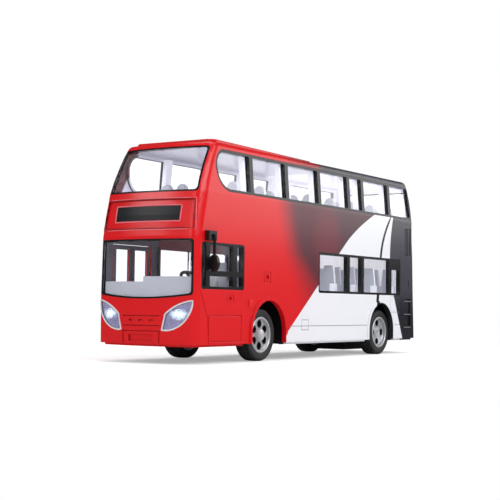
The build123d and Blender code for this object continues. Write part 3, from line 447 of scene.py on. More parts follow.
def livery(name, edge_only=False):
    """The painted body, or with edge_only a black tray with the paint on its edge."""
    tree = Finish(name)
    where, x, y, z = tree.place()
    colour = smoky_red(tree, where, x, z)
    for coat in (white_sweep, dark_tail, thin_stripe, black_arch, roof_paint):
        colour = coat(tree, colour, x, z)
    if edge_only:
        tree.set(Base_Color=tree.mix(on_tray_edge(tree, x, y), MATT_BLACK, colour))
    else:
        tree.set(Base_Color=lined(tree, colour, INNER_HALF_WIDTH))
    fine = tree.noise(where, PAINT_RIPPLE_SCALE, 2.0)
    tree.set(Roughness=tree.line(fine, PAINT_GLOSS_SPREAD, PAINT_GLOSS))
    tree.surface(fine, PAINT_RIPPLE, PAINT_SOFT_EDGE)
    return tree.material


def clear_plastic(name, tint):
    """Clear moulded plastic that lamps shine through."""
    tree = Finish(name)
    where, _, _, _ = tree.place()
    tree.set(Base_Color=tint, Transmission_Weight=1.0, IOR=1.3)
    tree.set(Roughness=tree.line(tree.noise(where, 0.05, 1.0), 0.02, 0.02))
    through = tree.node("ShaderNodeBsdfTransparent")
    tree.feed(through.inputs["Color"], tint)
    mixed = tree.node("ShaderNodeMixShader")
    tree.links.new(tree.node("ShaderNodeLightPath").outputs["Is Shadow Ray"], mixed.inputs[0])
    tree.links.new(tree.shader.outputs[0], mixed.inputs[1])
    tree.links.new(through.outputs[0], mixed.inputs[2])
    tree.links.new(mixed.outputs[0], tree.output.inputs["Surface"])
    return tree.material


def silver_paint(name, colour):
    """Silver paint with a faint flake."""
    tree = Finish(name)
    where, _, _, _ = tree.place()
    flake = tree.noise(where, FLAKE_SCALE, 1.0)
    tree.set(Base_Color=tree.mix(flake, tuple(0.9 * channel for channel in colour), colour))
    tree.set(Metallic=0.55, Roughness=tree.line(flake, 0.10, 0.28))
    tree.surface(flake, FLAKE_DEPTH, SOFT_EDGE)
    return tree.material


def rubber(name):
    """Soft tyre rubber, dull, with dusty mottling."""
    tree = Finish(name)
    where, _, _, _ = tree.place()
    dust = tree.noise(where, 0.35, 4.0)
    fine = tree.noise(where, 4.0, 3.0)
    tree.set(Base_Color=tree.mix(dust, RUBBER, tuple(2.1 * channel for channel in RUBBER)))
    tree.set(Roughness=tree.line(fine, 0.15, 0.5))
    tree.surface(fine, 0.03, 0.2)
    return tree.material


def lamp_bowl(name):
    """A lit lamp bowl: white at its bulb, bluer and dimmer outwards, with facets."""
    tree = Finish(name)
    where, _, y, z = tree.place()
    facets = tree.node("ShaderNodeTexVoronoi")
    tree.links.new(where, facets.inputs["Vector"])
    facets.inputs["Scale"].default_value = FACET_SCALE
    along = tree.times(tree.minus(tree.size(y), BULB_Y), BULB_FALL_ALONG)
    upward = tree.times(tree.minus(z, BULB_Z), BULB_FALL_UP)
    facet = tree.line(facets.outputs["Distance"], FACET_SPREAD, -FACET_MIDDLE)
    away = tree.plus(tree.length(along, upward), facet)
    cooler = tree.ramp(away, *LAMP_COOLING)
    colour = tree.mix(cooler, LAMP_WHITE, LAMP_SHADE)
    tree.set(Base_Color=colour, Metallic=0.6, Roughness=0.18)
    tree.set(Emission_Color=colour, Emission_Strength=tree.line(cooler, -LAMP_DIMMING, LAMP_GLOW))
    return tree.material


def display(name):
    """A blank display: near black, with a faint grid of unlit dots."""
    tree = Finish(name)
    where, _, y, z = tree.place()
    across, up = (tree.math("SINE", tree.times(axis, SIGN_DOT_RATE)) for axis in (y, z))
    dots = tree.times(tree.size(tree.times(across, up)), tree.noise(where, 0.08, 2.0))
    tree.set(Base_Color=tree.mix(dots, SIGN_BLACK, LED_GREEN), Specular_IOR_Level=0.25)
    tree.set(Roughness=tree.line(dots, 0.1, 0.30))
    return tree.material


materials = {
    "body_red": livery("body_livery"),
    "black_plastic": plastic("gloss_black_plastic", BLACK, 0.24),
    "chassis_black": plastic("matt_black_plastic", MATT_BLACK, 0.5, grain=0.05),
    "clear_plastic": clear_plastic("clear_plastic", GLASS_TINT),
    "sign_black": display("sign_face"),
    "lamp_clear": clear_plastic("lamp_lens", LENS_TINT),
    "lamp_silver": lamp_bowl("lamp_bowl"),
    "lamp_red": plastic("lamp_red_plastic", TAIL_LAMP_RED, 0.15, coat=0.8),
    "seat_grey": plastic("grey_plastic", GREY_PLASTIC, 0.42, grain=0.04),
    "rim_silver": silver_paint("rim_silver_paint", SILVER),
    "tyre_rubber": rubber("tyre_rubber"),
    "axle_steel": silver_paint("plain_steel", STEEL),
}
bright_silver = silver_paint("bright_silver_paint", BRIGHT_SILVER)
mirror_glass = silver_paint("mirror_glass", BRIGHT_SILVER)
plate_white = plastic("plate_white_plastic", PLATE_WHITE, 0.35)
seal_black = plastic("seal_rubber", SEAL_BLACK, 0.6)
seam_grey = plastic("seam_grey_plastic", SEAM_GREY, 0.4)
step_grey = plastic("step_grey_plastic", STEP_GREY, 0.35)
side_lamp_red = plastic("side_lamp_red", SIDE_LAMP_RED, 0.2)
# Beads of painted shade and painted highlight for the creases and edges round the display
crease_shade = plastic("crease_shade_red", CREASE_SHADE, 0.4)
painted_highlight = plastic("painted_highlight_red", PAINTED_HIGHLIGHT_RED, 0.3)
# A light liner plastic that glows a little, as painted light
glowing_liner = plastic("glowing_liner_plastic", LINER_WHITE, 0.45, painted_glow=0.3)

# Nodes whose finish isn't their slot's
lined_frame = plastic("lined_frame_plastic", BLACK, 0.24, lining_width=FRAME_INNER_HALF_WIDTH)
own_finish = {
    "window_frames_left": lined_frame,
    "window_frames_right": lined_frame,
    "chassis": livery("tray_edge_livery", edge_only=True),
    # The deck's grey plastic glows a little, as painted light
    "upper_deck": plastic("glowing_deck_plastic", GREY_PLASTIC, 0.42, grain=0.04, painted_glow=0.2),
    "dashboard": plastic("dash_plastic", DASH_GREY, 0.42, mottle=0.12, grain=0.04),
}
for part in frame["record"]["subparts"]:
    node = frame["nodes"][part["node"]]
    node.data.materials.clear()
    node.data.materials.append(own_finish.get(part["node"], materials[part["material_slot"]]))

# How pieces are made, and how beads are laid on the body from beyond its ends and sides
SHARP_ANGLE = math.radians(35)
BEAD_SIDES = 8
BEYOND_ENDS = 400.0
BEYOND_SIDES = 200.0
LAID_SPACING = 4.0
LAID_CLOSEST = 0.2
SKIN_HALF_WIDTH = 38.0


def piece(name, made, material, body, replaced=()):
    """Turns a finished bmesh, in metres of the bus at rest, into a named piece that rides on a body."""
    bmesh.ops.recalc_face_normals(made, faces=made.faces)
    mesh = bpy.data.meshes.new(name)
    made.to_mesh(mesh)
    made.free()
    mesh.polygons.foreach_set("use_smooth", [True] * len(mesh.polygons))
    mesh.set_sharp_from_angle(angle=SHARP_ANGLE)
    mesh.materials.append(material)
    obj = bpy.data.objects.new(name, mesh)
    bpy.context.scene.collection.objects.link(obj)
    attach(obj, body)
    if replaced:
        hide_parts(*replaced)
    return obj


def vert_at(made, x, y, z):
    return made.verts.new((x * MM, y * MM, z * MM))


def turns(count):
    """Angles all the way round, in even steps."""
    return [2 * math.pi * step / count for step in range(count)]


def skin(made, rings, around=False):
    """Faces between rings of corners, which close on themselves with around and get caps without it."""
    following_rings = rings[1:] + rings[:1] if around else rings[1:]
    for ring, following in zip(rings, following_rings):
        for index in range(len(ring)):
            after = (index + 1) % len(ring)
            made.faces.new((ring[index], following[index], following[after], ring[after]))
    if not around:
        made.faces.new(rings[0])
        made.faces.new(list(reversed(rings[-1])))


def section_at(made, profile, axis, side, angle):
    """The corners of a profile of (radius, y) pairs, at an angle about a cross axis through (x, z)."""
    return [
        vert_at(made, axis[0] + radius * math.cos(angle), side * y, axis[1] + radius * math.sin(angle))
        for radius, y in profile
    ]


def lathe(made, profile, axis, side, steps):
    """A closed profile of (radius, y) pairs, turned about a cross axis through (x, z)."""
    skin(made, [section_at(made, profile, axis, side, angle) for angle in turns(steps)], around=True)


def bead(made, points, radius, closed=False):
    """A round bead through points."""
    path = [Vector(point) * MM for point in points]
    rings = []
    for index, place in enumerate(path):
        before = path[index - 1] if index or closed else place
        after = path[(index + 1) % len(path)] if index + 1 < len(path) or closed else place
        run = (after - before).normalized()
        side = side - run * side.dot(run) if rings else run.orthogonal()
        side.normalize()
        other = run.cross(side)
        rings.append([
            made.verts.new(place + (side * math.cos(turn) + other * math.sin(turn)) * radius * MM)
            for turn in turns(BEAD_SIDES)
        ])
    skin(made, rings, around=closed)


def bar(made, low, high, soft):
    """A bar between two corners, with softened edges."""
    new = bmesh.ops.create_cube(made, size=1.0)["verts"]
    bmesh.ops.scale(made, vec=[(b - a) * MM for a, b in zip(low, high)], verts=new)
    bmesh.ops.translate(made, vec=[(a + b) / 2 * MM for a, b in zip(low, high)], verts=new)
    edges = list({edge for vert in new for edge in vert.link_edges})
    bmesh.ops.bevel(made, geom=edges, offset=soft * MM, segments=2, affect="EDGES")


def bore_out(obj, drill):
    """Cuts the shape of a bmesh out of a finished piece."""
    bmesh.ops.recalc_face_normals(drill, faces=drill.faces)
    mesh = bpy.data.meshes.new(obj.name + "_drill")
    drill.to_mesh(mesh)
    drill.free()
    cutter = bpy.data.objects.new(mesh.name, mesh)
    bpy.context.scene.collection.objects.link(cutter)
    cut = obj.modifiers.new("holes", "BOOLEAN")
    cut.operation = "DIFFERENCE"
    cut.solver = "EXACT"
    cut.object = cutter
    bpy.context.view_layer.update()
    bored = bpy.data.meshes.new_from_object(obj.evaluated_get(bpy.context.evaluated_depsgraph_get()))
    obj.modifiers.clear()
    obj.data = bored
    bored.set_sharp_from_angle(angle=SHARP_ANGLE)
    bpy.data.objects.remove(cutter)


def surface_of(*names):
    """The surfaces of some of the body's own nodes, to lay beads on."""
    verts = []
    faces = []
    for name in names:
        mesh = frame["nodes"][name].data
        first = len(verts)
        verts += [vertex.co.copy() for vertex in mesh.vertices]
        faces += [[first + index for index in polygon.vertices] for polygon in mesh.polygons]
    return BVHTree.FromPolygons(verts, faces)


def on_end(surface, points, toward):
    """(y, z) points laid on the front (toward -1) or the rear (toward 1)."""
    laid = []
    for y, z in points:
        start = Vector((-toward * BEYOND_ENDS * MM, y * MM, z * MM))
        hit = surface.ray_cast(start, Vector((toward, 0, 0)))[0]
        if hit:
            laid.append(tuple(hit / MM))
    return laid


def on_side(side_name, points):
    """(x, z) points joined by straight lines and laid on one side of the body."""
    side = SIDES[side_name]
    laid = []
    for (ax, az), (bx, bz) in zip(points, points[1:]):
        count = max(1, round(math.hypot(bx - ax, bz - az) / LAID_SPACING))
        for step in range(count + 1):
            x = ax + (bx - ax) * step / count
            z = az + (bz - az) * step / count
            start = Vector((x * MM, side * BEYOND_SIDES * MM, z * MM))
            hit = side_surfaces[side_name].ray_cast(start, Vector((0, -side, 0)))[0]
            if hit and abs(hit.y) > SKIN_HALF_WIDTH * MM:
                if not laid or (hit / MM - Vector(laid[-1])).length > LAID_CLOSEST:
                    laid.append(tuple(hit / MM))
    return laid


def loop_through(corners, count):
    """Points round a closed loop of straight lines, with a count of them on each line."""
    loop = []
    for (ay, az), (by, bz) in zip(corners, corners[1:] + corners[:1]):
        loop += [(ay + (by - ay) * step / count, az + (bz - az) * step / count) for step in range(count)]
    return loop


def arc(start, middle, end, steps=14):
    """Points on the circle through three (y, z) points."""
    (ax, ay), (bx, by), (cx, cy) = start, middle, end
    d = 2 * (ax * (by - cy) + bx * (cy - ay) + cx * (ay - by))
    ux = ((ax**2 + ay**2) * (by - cy) + (bx**2 + by**2) * (cy - ay) + (cx**2 + cy**2) * (ay - by)) / d
    uy = ((ax**2 + ay**2) * (cx - bx) + (bx**2 + by**2) * (ax - cx) + (cx**2 + cy**2) * (bx - ax)) / d
    radius = math.hypot(ax - ux, ay - uy)
    first, halfway, last = (math.atan2(py - uy, px - ux) for px, py in (start, middle, end))
    full = 2 * math.pi
    halfway += full * round((first - halfway) / full)
    last += full * round((halfway - last) / full)
    angles = [first + (last - first) * step / steps for step in range(steps + 1)]
    return [(ux + radius * math.cos(angle), uy + radius * math.sin(angle)) for angle in angles]


# Wheels: name, end of the bus, axis as (x, z), side, body
FRONT_AXLE_X = 80.2
REAR_AXLE_X = -104.6
AXLE_Z = 18.5
WHEELS = [
    (end + "_" + side_name, end, (axle_x, AXLE_Z), side, body.format(side_name))
    for end, axle_x, body in (
        ("front", FRONT_AXLE_X, "front_wheel_{}"),
        ("rear", REAR_AXLE_X, "rear_wheels"),
    )
    for side_name, side in SIDES.items()
]

# Tyres with blocks of tread in place of the plain ones
TYRE_INNER_Y = 25.6
TYRE_OUTER_Y = 37.2
TYRE_RADIUS = 18.5
TYRE_CROWN = 0.25
TYRE_SHOULDER = 1.0
BEAD_RADIUS = 12.75
WALL_RADIUS = 17.6
TREAD_DEPTH = 0.75
TREAD_PITCHES = 36
STEPS_PER_PITCH = 8
TREAD_COLUMNS = 20
GROOVE_SLANT = 0.55
GROOVE_WIDTH = 0.2
MIDDLE_CHANNEL = 0.08
OUTER_CHANNEL = 0.52
OUTER_CHANNEL_HALF = 0.06
LUG_DEPTH = 0.35
LUG_STEPS = 2


def tread_depth(turn, across):
    """How deep the tread is cut: turn in pitches round the tyre, across from -1 to 1."""
    slant = (turn + GROOVE_SLANT * abs(across)) % 1.0
    crossing = (turn - GROOVE_SLANT * abs(across) + 0.5) % 1.0
    groove = slant < GROOVE_WIDTH or (crossing < GROOVE_WIDTH and abs(across) > 0.5)
    channel = abs(across) < MIDDLE_CHANNEL or abs(abs(across) - OUTER_CHANNEL) < OUTER_CHANNEL_HALF
    return TREAD_DEPTH if groove or channel else 0.0


def tyre_profile(step):
    """The tyre's section at one step round it, from its inner bead over the tread to its outer bead."""
    middle = (TYRE_INNER_Y + TYRE_OUTER_Y) / 2
    half_tread = (TYRE_OUTER_Y - TYRE_INNER_Y) / 2 - TYRE_SHOULDER
    profile = [
        (BEAD_RADIUS, TYRE_INNER_Y + 0.3), (14.6, TYRE_INNER_Y), (16.6, TYRE_INNER_Y + 0.1),
        (WALL_RADIUS, TYRE_INNER_Y + 0.45),
    ]
    for column in range(TREAD_COLUMNS + 1):
        across = 2 * column / TREAD_COLUMNS - 1
        crown = TYRE_RADIUS - TYRE_CROWN * across * across
        profile.append((crown - tread_depth(step / STEPS_PER_PITCH, across), middle + across * half_tread))
    lug = LUG_DEPTH if step % STEPS_PER_PITCH < LUG_STEPS else 0.0
    return profile + [
        (WALL_RADIUS - lug, TYRE_OUTER_Y - 0.45), (16.7, TYRE_OUTER_Y - 0.1 - lug / 2), (16.1, TYRE_OUTER_Y),
        (15.7, TYRE_OUTER_Y - 0.15), (14.3, TYRE_OUTER_Y - 0.05), (13.5, TYRE_OUTER_Y - 0.2),
        (BEAD_RADIUS, TYRE_OUTER_Y - 0.55),
    ]


for name, end, axis, side, body in WHEELS:
    made = bmesh.new()
    steps = turns(TREAD_PITCHES * STEPS_PER_PITCH)
    rings = [section_at(made, tyre_profile(step), axis, side, angle) for step, angle in enumerate(steps)]
    skin(made, rings, around=True)
    tyre = name.replace("_", "_tyre_")
    piece("tread_" + name, made, materials["tyre_rubber"], body, (tyre,))

# How many steps go round each turned shape
RING_STEPS = 72
CUP_STEPS = 40
PLATE_STEPS = 96
DRILL_STEPS = 32
BACKING_STEPS = 48
SLEEVE_STEPS = 24
BULB_RING_STEPS = 28
MIRROR_STEPS = 32
SCREW_STEPS = 18

# Bright rings on the rims and capped cups round the hubs, as profiles of (radius, y). A cap is given as
# (share of its radius, height over its back).
RIM_RING = [
    (11.35, 35.9), (11.35, 36.75), (11.7, 37.1), (12.25, 37.1), (12.6, 36.8), (12.6, 36.2), (12.3, 35.9),
]
HUB_CUPS = {
    "front": [(2.7, 35.8), (2.7, 37.4), (3.0, 37.6), (3.7, 37.4), (4.1, 36.4), (4.4, 35.9), (4.4, 35.4)],
    "rear": [(1.8, 34.3), (1.8, 35.2), (2.1, 35.6), (3.6, 35.5), (4.0, 34.8), (4.2, 34.4), (4.2, 34.0)],
}
CAP_BACKS = {"front": 37.3, "rear": 33.8}
CAP = [(0.0, 0.0), (1.0, 0.0), (1.0, 0.2), (0.75, 0.4), (0.0, 0.45)]
CAP_OVERLAP = 0.05
AXIS_RADIUS = 0.02
for name, end, axis, side, body in WHEELS:
    made = bmesh.new()
    lathe(made, RIM_RING, axis, side, RING_STEPS)
    piece("rim_ring_" + name, made, bright_silver, body)
    made = bmesh.new()
    lathe(made, HUB_CUPS[end], axis, side, CUP_STEPS)
    edge = HUB_CUPS[end][0][0] + CAP_OVERLAP
    cap = [(max(edge * share, AXIS_RADIUS), CAP_BACKS[end] + rise) for share, rise in CAP]
    lathe(made, cap, axis, side, CUP_STEPS)
    piece("hub_cup_" + name, made, bright_silver, body)

# Holes by the end of the bus: face they open in, how many, first hole's turn, height of the black backing
# behind, which is painted shade
# The rear rims' holes are in plates of their own, dishes over the rims.
PLATE_FACE = 34.4
PLATE_BACK = 31.75
PLATE = [
    (3.9, PLATE_BACK), (3.9, PLATE_FACE - 0.1), (4.1, PLATE_FACE), (9.6, PLATE_FACE),
    (10.2, PLATE_FACE + 0.3), (10.6, PLATE_FACE + 0.9), (10.9, PLATE_FACE + 0.9), (10.9, PLATE_BACK + 1.2),
    (10.2, PLATE_BACK),
]
HOLE_CIRCLE = 7.8
HOLE_RADIUS = 2.3
DRILL_START, DRILL_END = 30.0, 38.0
DRILL_AXIS_RADIUS = 0.01
DRILL = [
    (DRILL_AXIS_RADIUS, DRILL_START), (HOLE_RADIUS, DRILL_START), (HOLE_RADIUS, DRILL_END),
    (DRILL_AXIS_RADIUS, DRILL_END),
]
HOLES = {"front": (35.2, 6, 30.0, 33.0), "rear": (PLATE_FACE, 4, 0.0, 29.5)}


def hole_axes(end, axis):
    """The axes of the holes of one rim, as (x, z)."""
    _, count, first, _ = HOLES[end]
    return [
        (axis[0] + HOLE_CIRCLE * math.cos(turn), axis[1] + HOLE_CIRCLE * math.sin(turn))
        for turn in (math.radians(first) + turn for turn in turns(count))
    ]


for name, end, axis, side, body in WHEELS:
    if end == "rear":
        made = bmesh.new()
        lathe(made, PLATE, axis, side, PLATE_STEPS)
        plate = piece("rim_plate_" + name, made, materials["rim_silver"], body)
        drill = bmesh.new()
        for hole in hole_axes(end, axis):
            lathe(drill, DRILL, hole, side, DRILL_STEPS)
        bore_out(plate, drill)

# Painted shade in the rims' holes: black backings behind the holes, and black sleeves in them, closed ones
# at the rear, whose lips darken the face round each hole
for name, end, axis, side, body in WHEELS:
    face, _, _, y = HOLES[end]
    made = bmesh.new()
    backing = [(4.6, y - 0.2), (4.6, y + 0.1), (4.9, y + 0.25), (10.6, y + 0.25), (10.9, y), (10.9, y - 0.2)]
    lathe(made, backing, axis, side, BACKING_STEPS)
    piece("rim_shade_backing_" + name, made, materials["black_plastic"], body)
    made = bmesh.new()
    foot = face - 2.0
    sleeve = [
        (2.12, foot), (2.12, face - 0.05), (2.85, face - 0.05), (2.85, face + 0.12), (2.0, face + 0.12),
        (1.95, foot),
    ]
    if end == "rear":
        sleeve += [(1.9, foot - 0.3), (AXIS_RADIUS, foot - 0.3)]
        sleeve += [(AXIS_RADIUS, foot - 0.5), (2.12, foot - 0.5)]
    for hole in hole_axes(end, axis):
        lathe(made, sleeve, hole, side, SLEEVE_STEPS)
    piece("rim_shade_sleeves_" + name, made, materials["black_plastic"], body)

# Radius of each bead, and the ends that some are laid on
LAMP_RIM_BEAD = 0.55
LAMP_RING_BEAD = 0.32
SEAM_BEAD = 0.17
STEP_BEAD = 0.5
SLAT_BEAD = 0.7
WINDOW_SEAL_BEAD = 0.55
LAMP_RIB_BEAD = 0.35
FRONT, REAR = -1, 1

# The body's surfaces that trim is laid on
front_surface = surface_of("front_fascia", "headlamp_lenses", "destination_sign")
bowl_surface = surface_of("headlamp_bowls")
rear_surface = surface_of("rear_panel", "rear_glass", "tail_lamps")
side_surfaces = {name: surface_of("side_" + name, "rear_panel", "front_fascia") for name in SIDES}

# White rims round the headlamps, in (y, z) on the left, and rings round the bulbs in their bowls
LAMP_TIP = (38.2, 41.6)
LAMP_FOOT = (16.9, 22.2)
LAMP_CROWN = (19.3, 32.6)
LAMP_TOP = (27.6, 38.3)
LAMP_UNDER = (31.0, 26.1)
LAMP_RING_RADIUS = 3.4
lamp_outline = arc(LAMP_CROWN, LAMP_TOP, LAMP_TIP) + arc(LAMP_TIP, LAMP_UNDER, LAMP_FOOT)[1:]
lamp_outline += [LAMP_FOOT, tuple((a + b) / 2 for a, b in zip(LAMP_FOOT, LAMP_CROWN))]
lamp_ring = [
    (BULB_Y + LAMP_RING_RADIUS * math.cos(turn), BULB_Z + LAMP_RING_RADIUS * math.sin(turn))
    for turn in turns(BULB_RING_STEPS)
]
for side_name, side in SIDES.items():
    made = bmesh.new()
    outline = [(side * y, z) for y, z in lamp_outline]
    bead(made, on_end(front_surface, outline, FRONT), LAMP_RIM_BEAD, closed=True)
    piece("lamp_rim_" + side_name, made, plate_white, "root")
    made = bmesh.new()
    ring = [(side * y, z) for y, z in lamp_ring]
    bead(made, on_end(bowl_surface, ring, FRONT), LAMP_RING_BEAD, closed=True)
    piece("lamp_ring_" + side_name, made, bright_silver, "root")

# The blank display's bevelled edge and the creases of the panel round it, drawn as beads of painted
# highlight and painted shade. Edges are given by half widths at the foot and the top, and the heights of
# these. The bead of painted highlight lies outside the bead of painted shade.
SIGN_EDGE = (26.95, 26.95, 93.65, 104.45)
PANEL_EDGE = (37.6, 36.0, 88.9, 108.3)
HIGHLIGHT_OFFSET = 0.75
for name, edge, spread, radius, material in (
    ("display_edge_highlight", SIGN_EDGE, 0.0, 0.5, painted_highlight),
    ("panel_crease", PANEL_EDGE, 0.0, 0.3, crease_shade),
    ("panel_crease_highlight", PANEL_EDGE, HIGHLIGHT_OFFSET, 0.32, painted_highlight),
):
    foot_half, top_half, foot, top = edge
    corners = [
        (-foot_half - spread, foot - spread), (foot_half + spread, foot - spread),
        (top_half + spread, top + spread), (-top_half - spread, top + spread),
    ]
    made = bmesh.new()
    bead(made, on_end(front_surface, loop_through(corners, count=12), FRONT), radius, closed=True)
    piece(name, made, material, "root")

# Seams and hatches on both sides, in (x, z), climbing steps, and a small lamp ahead of each front wheel
SEAMS = [
    [(46.6, 24.5), (-75.0, 24.5)],
    [(-123.8, 24.5), (-137.0, 24.5)],
    [(19.9, 21.6), (30.2, 21.6), (30.2, 29.0), (19.9, 29.0), (19.9, 21.6)],
    [(-117.8, 48.2), (-117.8, 35.3), (-138.0, 35.3)],
]
STEP_HEIGHTS = [44.5, 33.3, 22.2]
STEP_REAR, STEP_FRONT = -157.0, -144.0
SIDE_LAMP_REAR, SIDE_LAMP_FRONT = 97.0, 102.8
SIDE_LAMP_LOW, SIDE_LAMP_HIGH = 38.4, 43.0
SIDE_LAMP_INNER, SIDE_LAMP_OUTER = 39.9, 41.3
for side_name, side in SIDES.items():
    made = bmesh.new()
    for seam in SEAMS:
        bead(made, on_side(side_name, seam), SEAM_BEAD)
    piece("seams_" + side_name, made, seam_grey, "root")
    made = bmesh.new()
    for height in STEP_HEIGHTS:
        bead(made, on_side(side_name, [(STEP_REAR, height), (STEP_FRONT, height)]), STEP_BEAD)
    piece("steps_" + side_name, made, step_grey, "root")
    made = bmesh.new()
    inner, outer = sorted((side * SIDE_LAMP_INNER, side * SIDE_LAMP_OUTER))
    bar(made, (SIDE_LAMP_REAR, inner, SIDE_LAMP_LOW), (SIDE_LAMP_FRONT, outer, SIDE_LAMP_HIGH), soft=0.45)
    piece("side_lamp_" + side_name, made, side_lamp_red, "root")

# Light liners behind the posts of the upper windows, which lean in with the side, and glow a little as
# painted light
UPPER_POSTS = [99.0, 51.4, 3.6, -43.8, -67.7, -115.5]
LINER_LOW, LINER_HIGH = 114.6, 143.4
LINER_OUTER, LINER_INNER = 36.5, 32.7
LINER_BEHIND, LINER_AHEAD = 2.3, 4.4
for side_name, side in SIDES.items():
    made = bmesh.new()
    for post in UPPER_POSTS:
        rear, front = post - LINER_BEHIND, post + LINER_AHEAD
        rings = []
        for z in (LINER_LOW, LINER_HIGH):
            lean = SIDE_LEAN * (z - WAIST_Z)
            inner, outer = side * (LINER_INNER - lean), side * (LINER_OUTER - lean)
            places = ((rear, inner), (front, inner), (front, outer), (rear, outer))
            rings.append([vert_at(made, x, y, z) for x, y in places])
        skin(made, rings)
    bmesh.ops.bevel(made, geom=list(made.edges), offset=0.3 * MM, segments=2, affect="EDGES")
    piece("liner_posts_" + side_name, made, glowing_liner, "root")

# Head pads on the seats upstairs
SEAT_ROWS = [-137.0 + 34.5 * row for row in range(8)]
SEAT_PLACES = [-28.1, -14.7, 14.7, 28.1]
PAD_LOW, PAD_HIGH = 115.0, 125.0
PAD_HALF, PAD_THICK, PAD_BEHIND = 4.6, 3.4, 0.4
CROWN_STEPS = 12
made = bmesh.new()
for row in SEAT_ROWS:
    for seat in SEAT_PLACES:
        crown = [math.pi * step / CROWN_STEPS for step in range(CROWN_STEPS + 1)]
        outline = [(seat + PAD_HALF, PAD_LOW)]
        outline += [(seat + PAD_HALF * math.cos(t), PAD_HIGH - PAD_HALF * (1 - math.sin(t))) for t in crown]
        outline.append((seat - PAD_HALF, PAD_LOW))
        rear = row - PAD_BEHIND
        skin(made, [[vert_at(made, x, y, z) for y, z in outline] for x in (rear + PAD_THICK, rear)])
rims = list({edge for face in made.faces if len(face.verts) > 4 for edge in face.edges})
bmesh.ops.bevel(made, geom=rims, offset=0.7 * MM, segments=2, affect="EDGES")
piece("seat_head_pads", made, materials["seat_grey"], "root")

# Rear: cooling slats, a blank plate, a seal round the window and ribs on the tail lamps
SLAT_LOW, SLAT_PITCH, SLAT_COUNT = 48.0, 3.4, 9
SLAT_HALF, SLAT_STEPS = 24.0, 12
REAR_PLATE_LOW, REAR_PLATE_HIGH = (-170.7, -11.0, 26.0), (-169.3, 11.0, 32.0)
REAR_WINDOW_SEAL = [(-32.6, 118.4), (32.6, 118.4), (32.6, 139.6), (-32.6, 139.6)]
LAMP_RIB_LOW, LAMP_RIB_PITCH, LAMP_RIB_COUNT = 43.0, 5.0, 5
LAMP_RIB_INNER, LAMP_RIB_STEP, LAMP_RIB_POINTS = 32.2, 1.2, 5
made = bmesh.new()
for slat in range(SLAT_COUNT):
    z = SLAT_LOW + SLAT_PITCH * slat
    across = [(SLAT_HALF * (2 * step / SLAT_STEPS - 1), z) for step in range(SLAT_STEPS + 1)]
    bead(made, on_end(rear_surface, across, REAR), SLAT_BEAD)
piece("rear_slats", made, materials["black_plastic"], "root")
made = bmesh.new()
bar(made, REAR_PLATE_LOW, REAR_PLATE_HIGH, soft=0.4)
piece("rear_plate", made, plate_white, "root")
made = bmesh.new()
seal = loop_through(REAR_WINDOW_SEAL, count=10)
bead(made, on_end(rear_surface, seal, REAR), WINDOW_SEAL_BEAD, closed=True)
piece("rear_window_seal", made, seal_black, "root")
for side_name, side in SIDES.items():
    made = bmesh.new()
    for rib in range(LAMP_RIB_COUNT):
        z = LAMP_RIB_LOW + LAMP_RIB_PITCH * rib
        across = [(side * (LAMP_RIB_INNER + LAMP_RIB_STEP * step), z) for step in range(LAMP_RIB_POINTS)]
        bead(made, on_end(rear_surface, across, REAR), LAMP_RIB_BEAD)
    piece("tail_lamp_ribs_" + side_name, made, materials["lamp_red"], "root")

# Mirror glasses on the rear of each head: (share of the full size, x), from the head outwards
MIRROR_Y, MIRROR_Z = 44.5, 66.4
MIRROR_HALF_WIDTH, MIRROR_HALF_HEIGHT = 3.3, 5.2
MIRROR_RINGS = [(1.0, 149.1), (1.0, 148.9), (0.86, 148.7), (0.3, 148.7)]
for side_name, side in SIDES.items():
    made = bmesh.new()
    rings = []
    for share, x in MIRROR_RINGS:
        rings.append([
            vert_at(
                made, x, side * MIRROR_Y + share * MIRROR_HALF_WIDTH * math.cos(turn),
                MIRROR_Z + share * MIRROR_HALF_HEIGHT * math.sin(turn),
            )
            for turn in turns(MIRROR_STEPS)
        ])
    skin(made, rings)
    piece("mirror_glass_" + side_name, made, mirror_glass, "root")

# Seals on each door leaf's free edge
DOOR_EDGES = {"front": 132.7, "rear": 131.9}
SEAL_HALF = 0.35
SEAL_OUTER, SEAL_INNER = -40.55, -38.45
SEAL_LOW, SEAL_HIGH = 15.8, 79.6
for leaf, edge in DOOR_EDGES.items():
    made = bmesh.new()
    bar(made, (edge - SEAL_HALF, SEAL_OUTER, SEAL_LOW), (edge + SEAL_HALF, SEAL_INNER, SEAL_HIGH), soft=0.2)
    piece("door_seal_" + leaf, made, seal_black, "door_" + leaf)

# Underside: screws in (x, y), each a stack of (radius, z) rings
SCREWS = [(125.0, 22.0), (20.0, 26.0), (-60.0, 26.0), (-150.0, 20.0)]
SCREW_RINGS = [(2.0, 11.5), (2.0, 11.0), (1.7, 10.7), (0.8, 10.7), (0.6, 11.1)]
made = bmesh.new()
for x, y in SCREWS:
    for side in SIDES.values():
        skin(made, [
            [
                vert_at(made, x + radius * math.cos(turn), side * y + radius * math.sin(turn), z)
                for turn in turns(SCREW_STEPS)
            ]
            for radius, z in SCREW_RINGS
        ])
piece("tray_screws", made, materials["axle_steel"], "root")

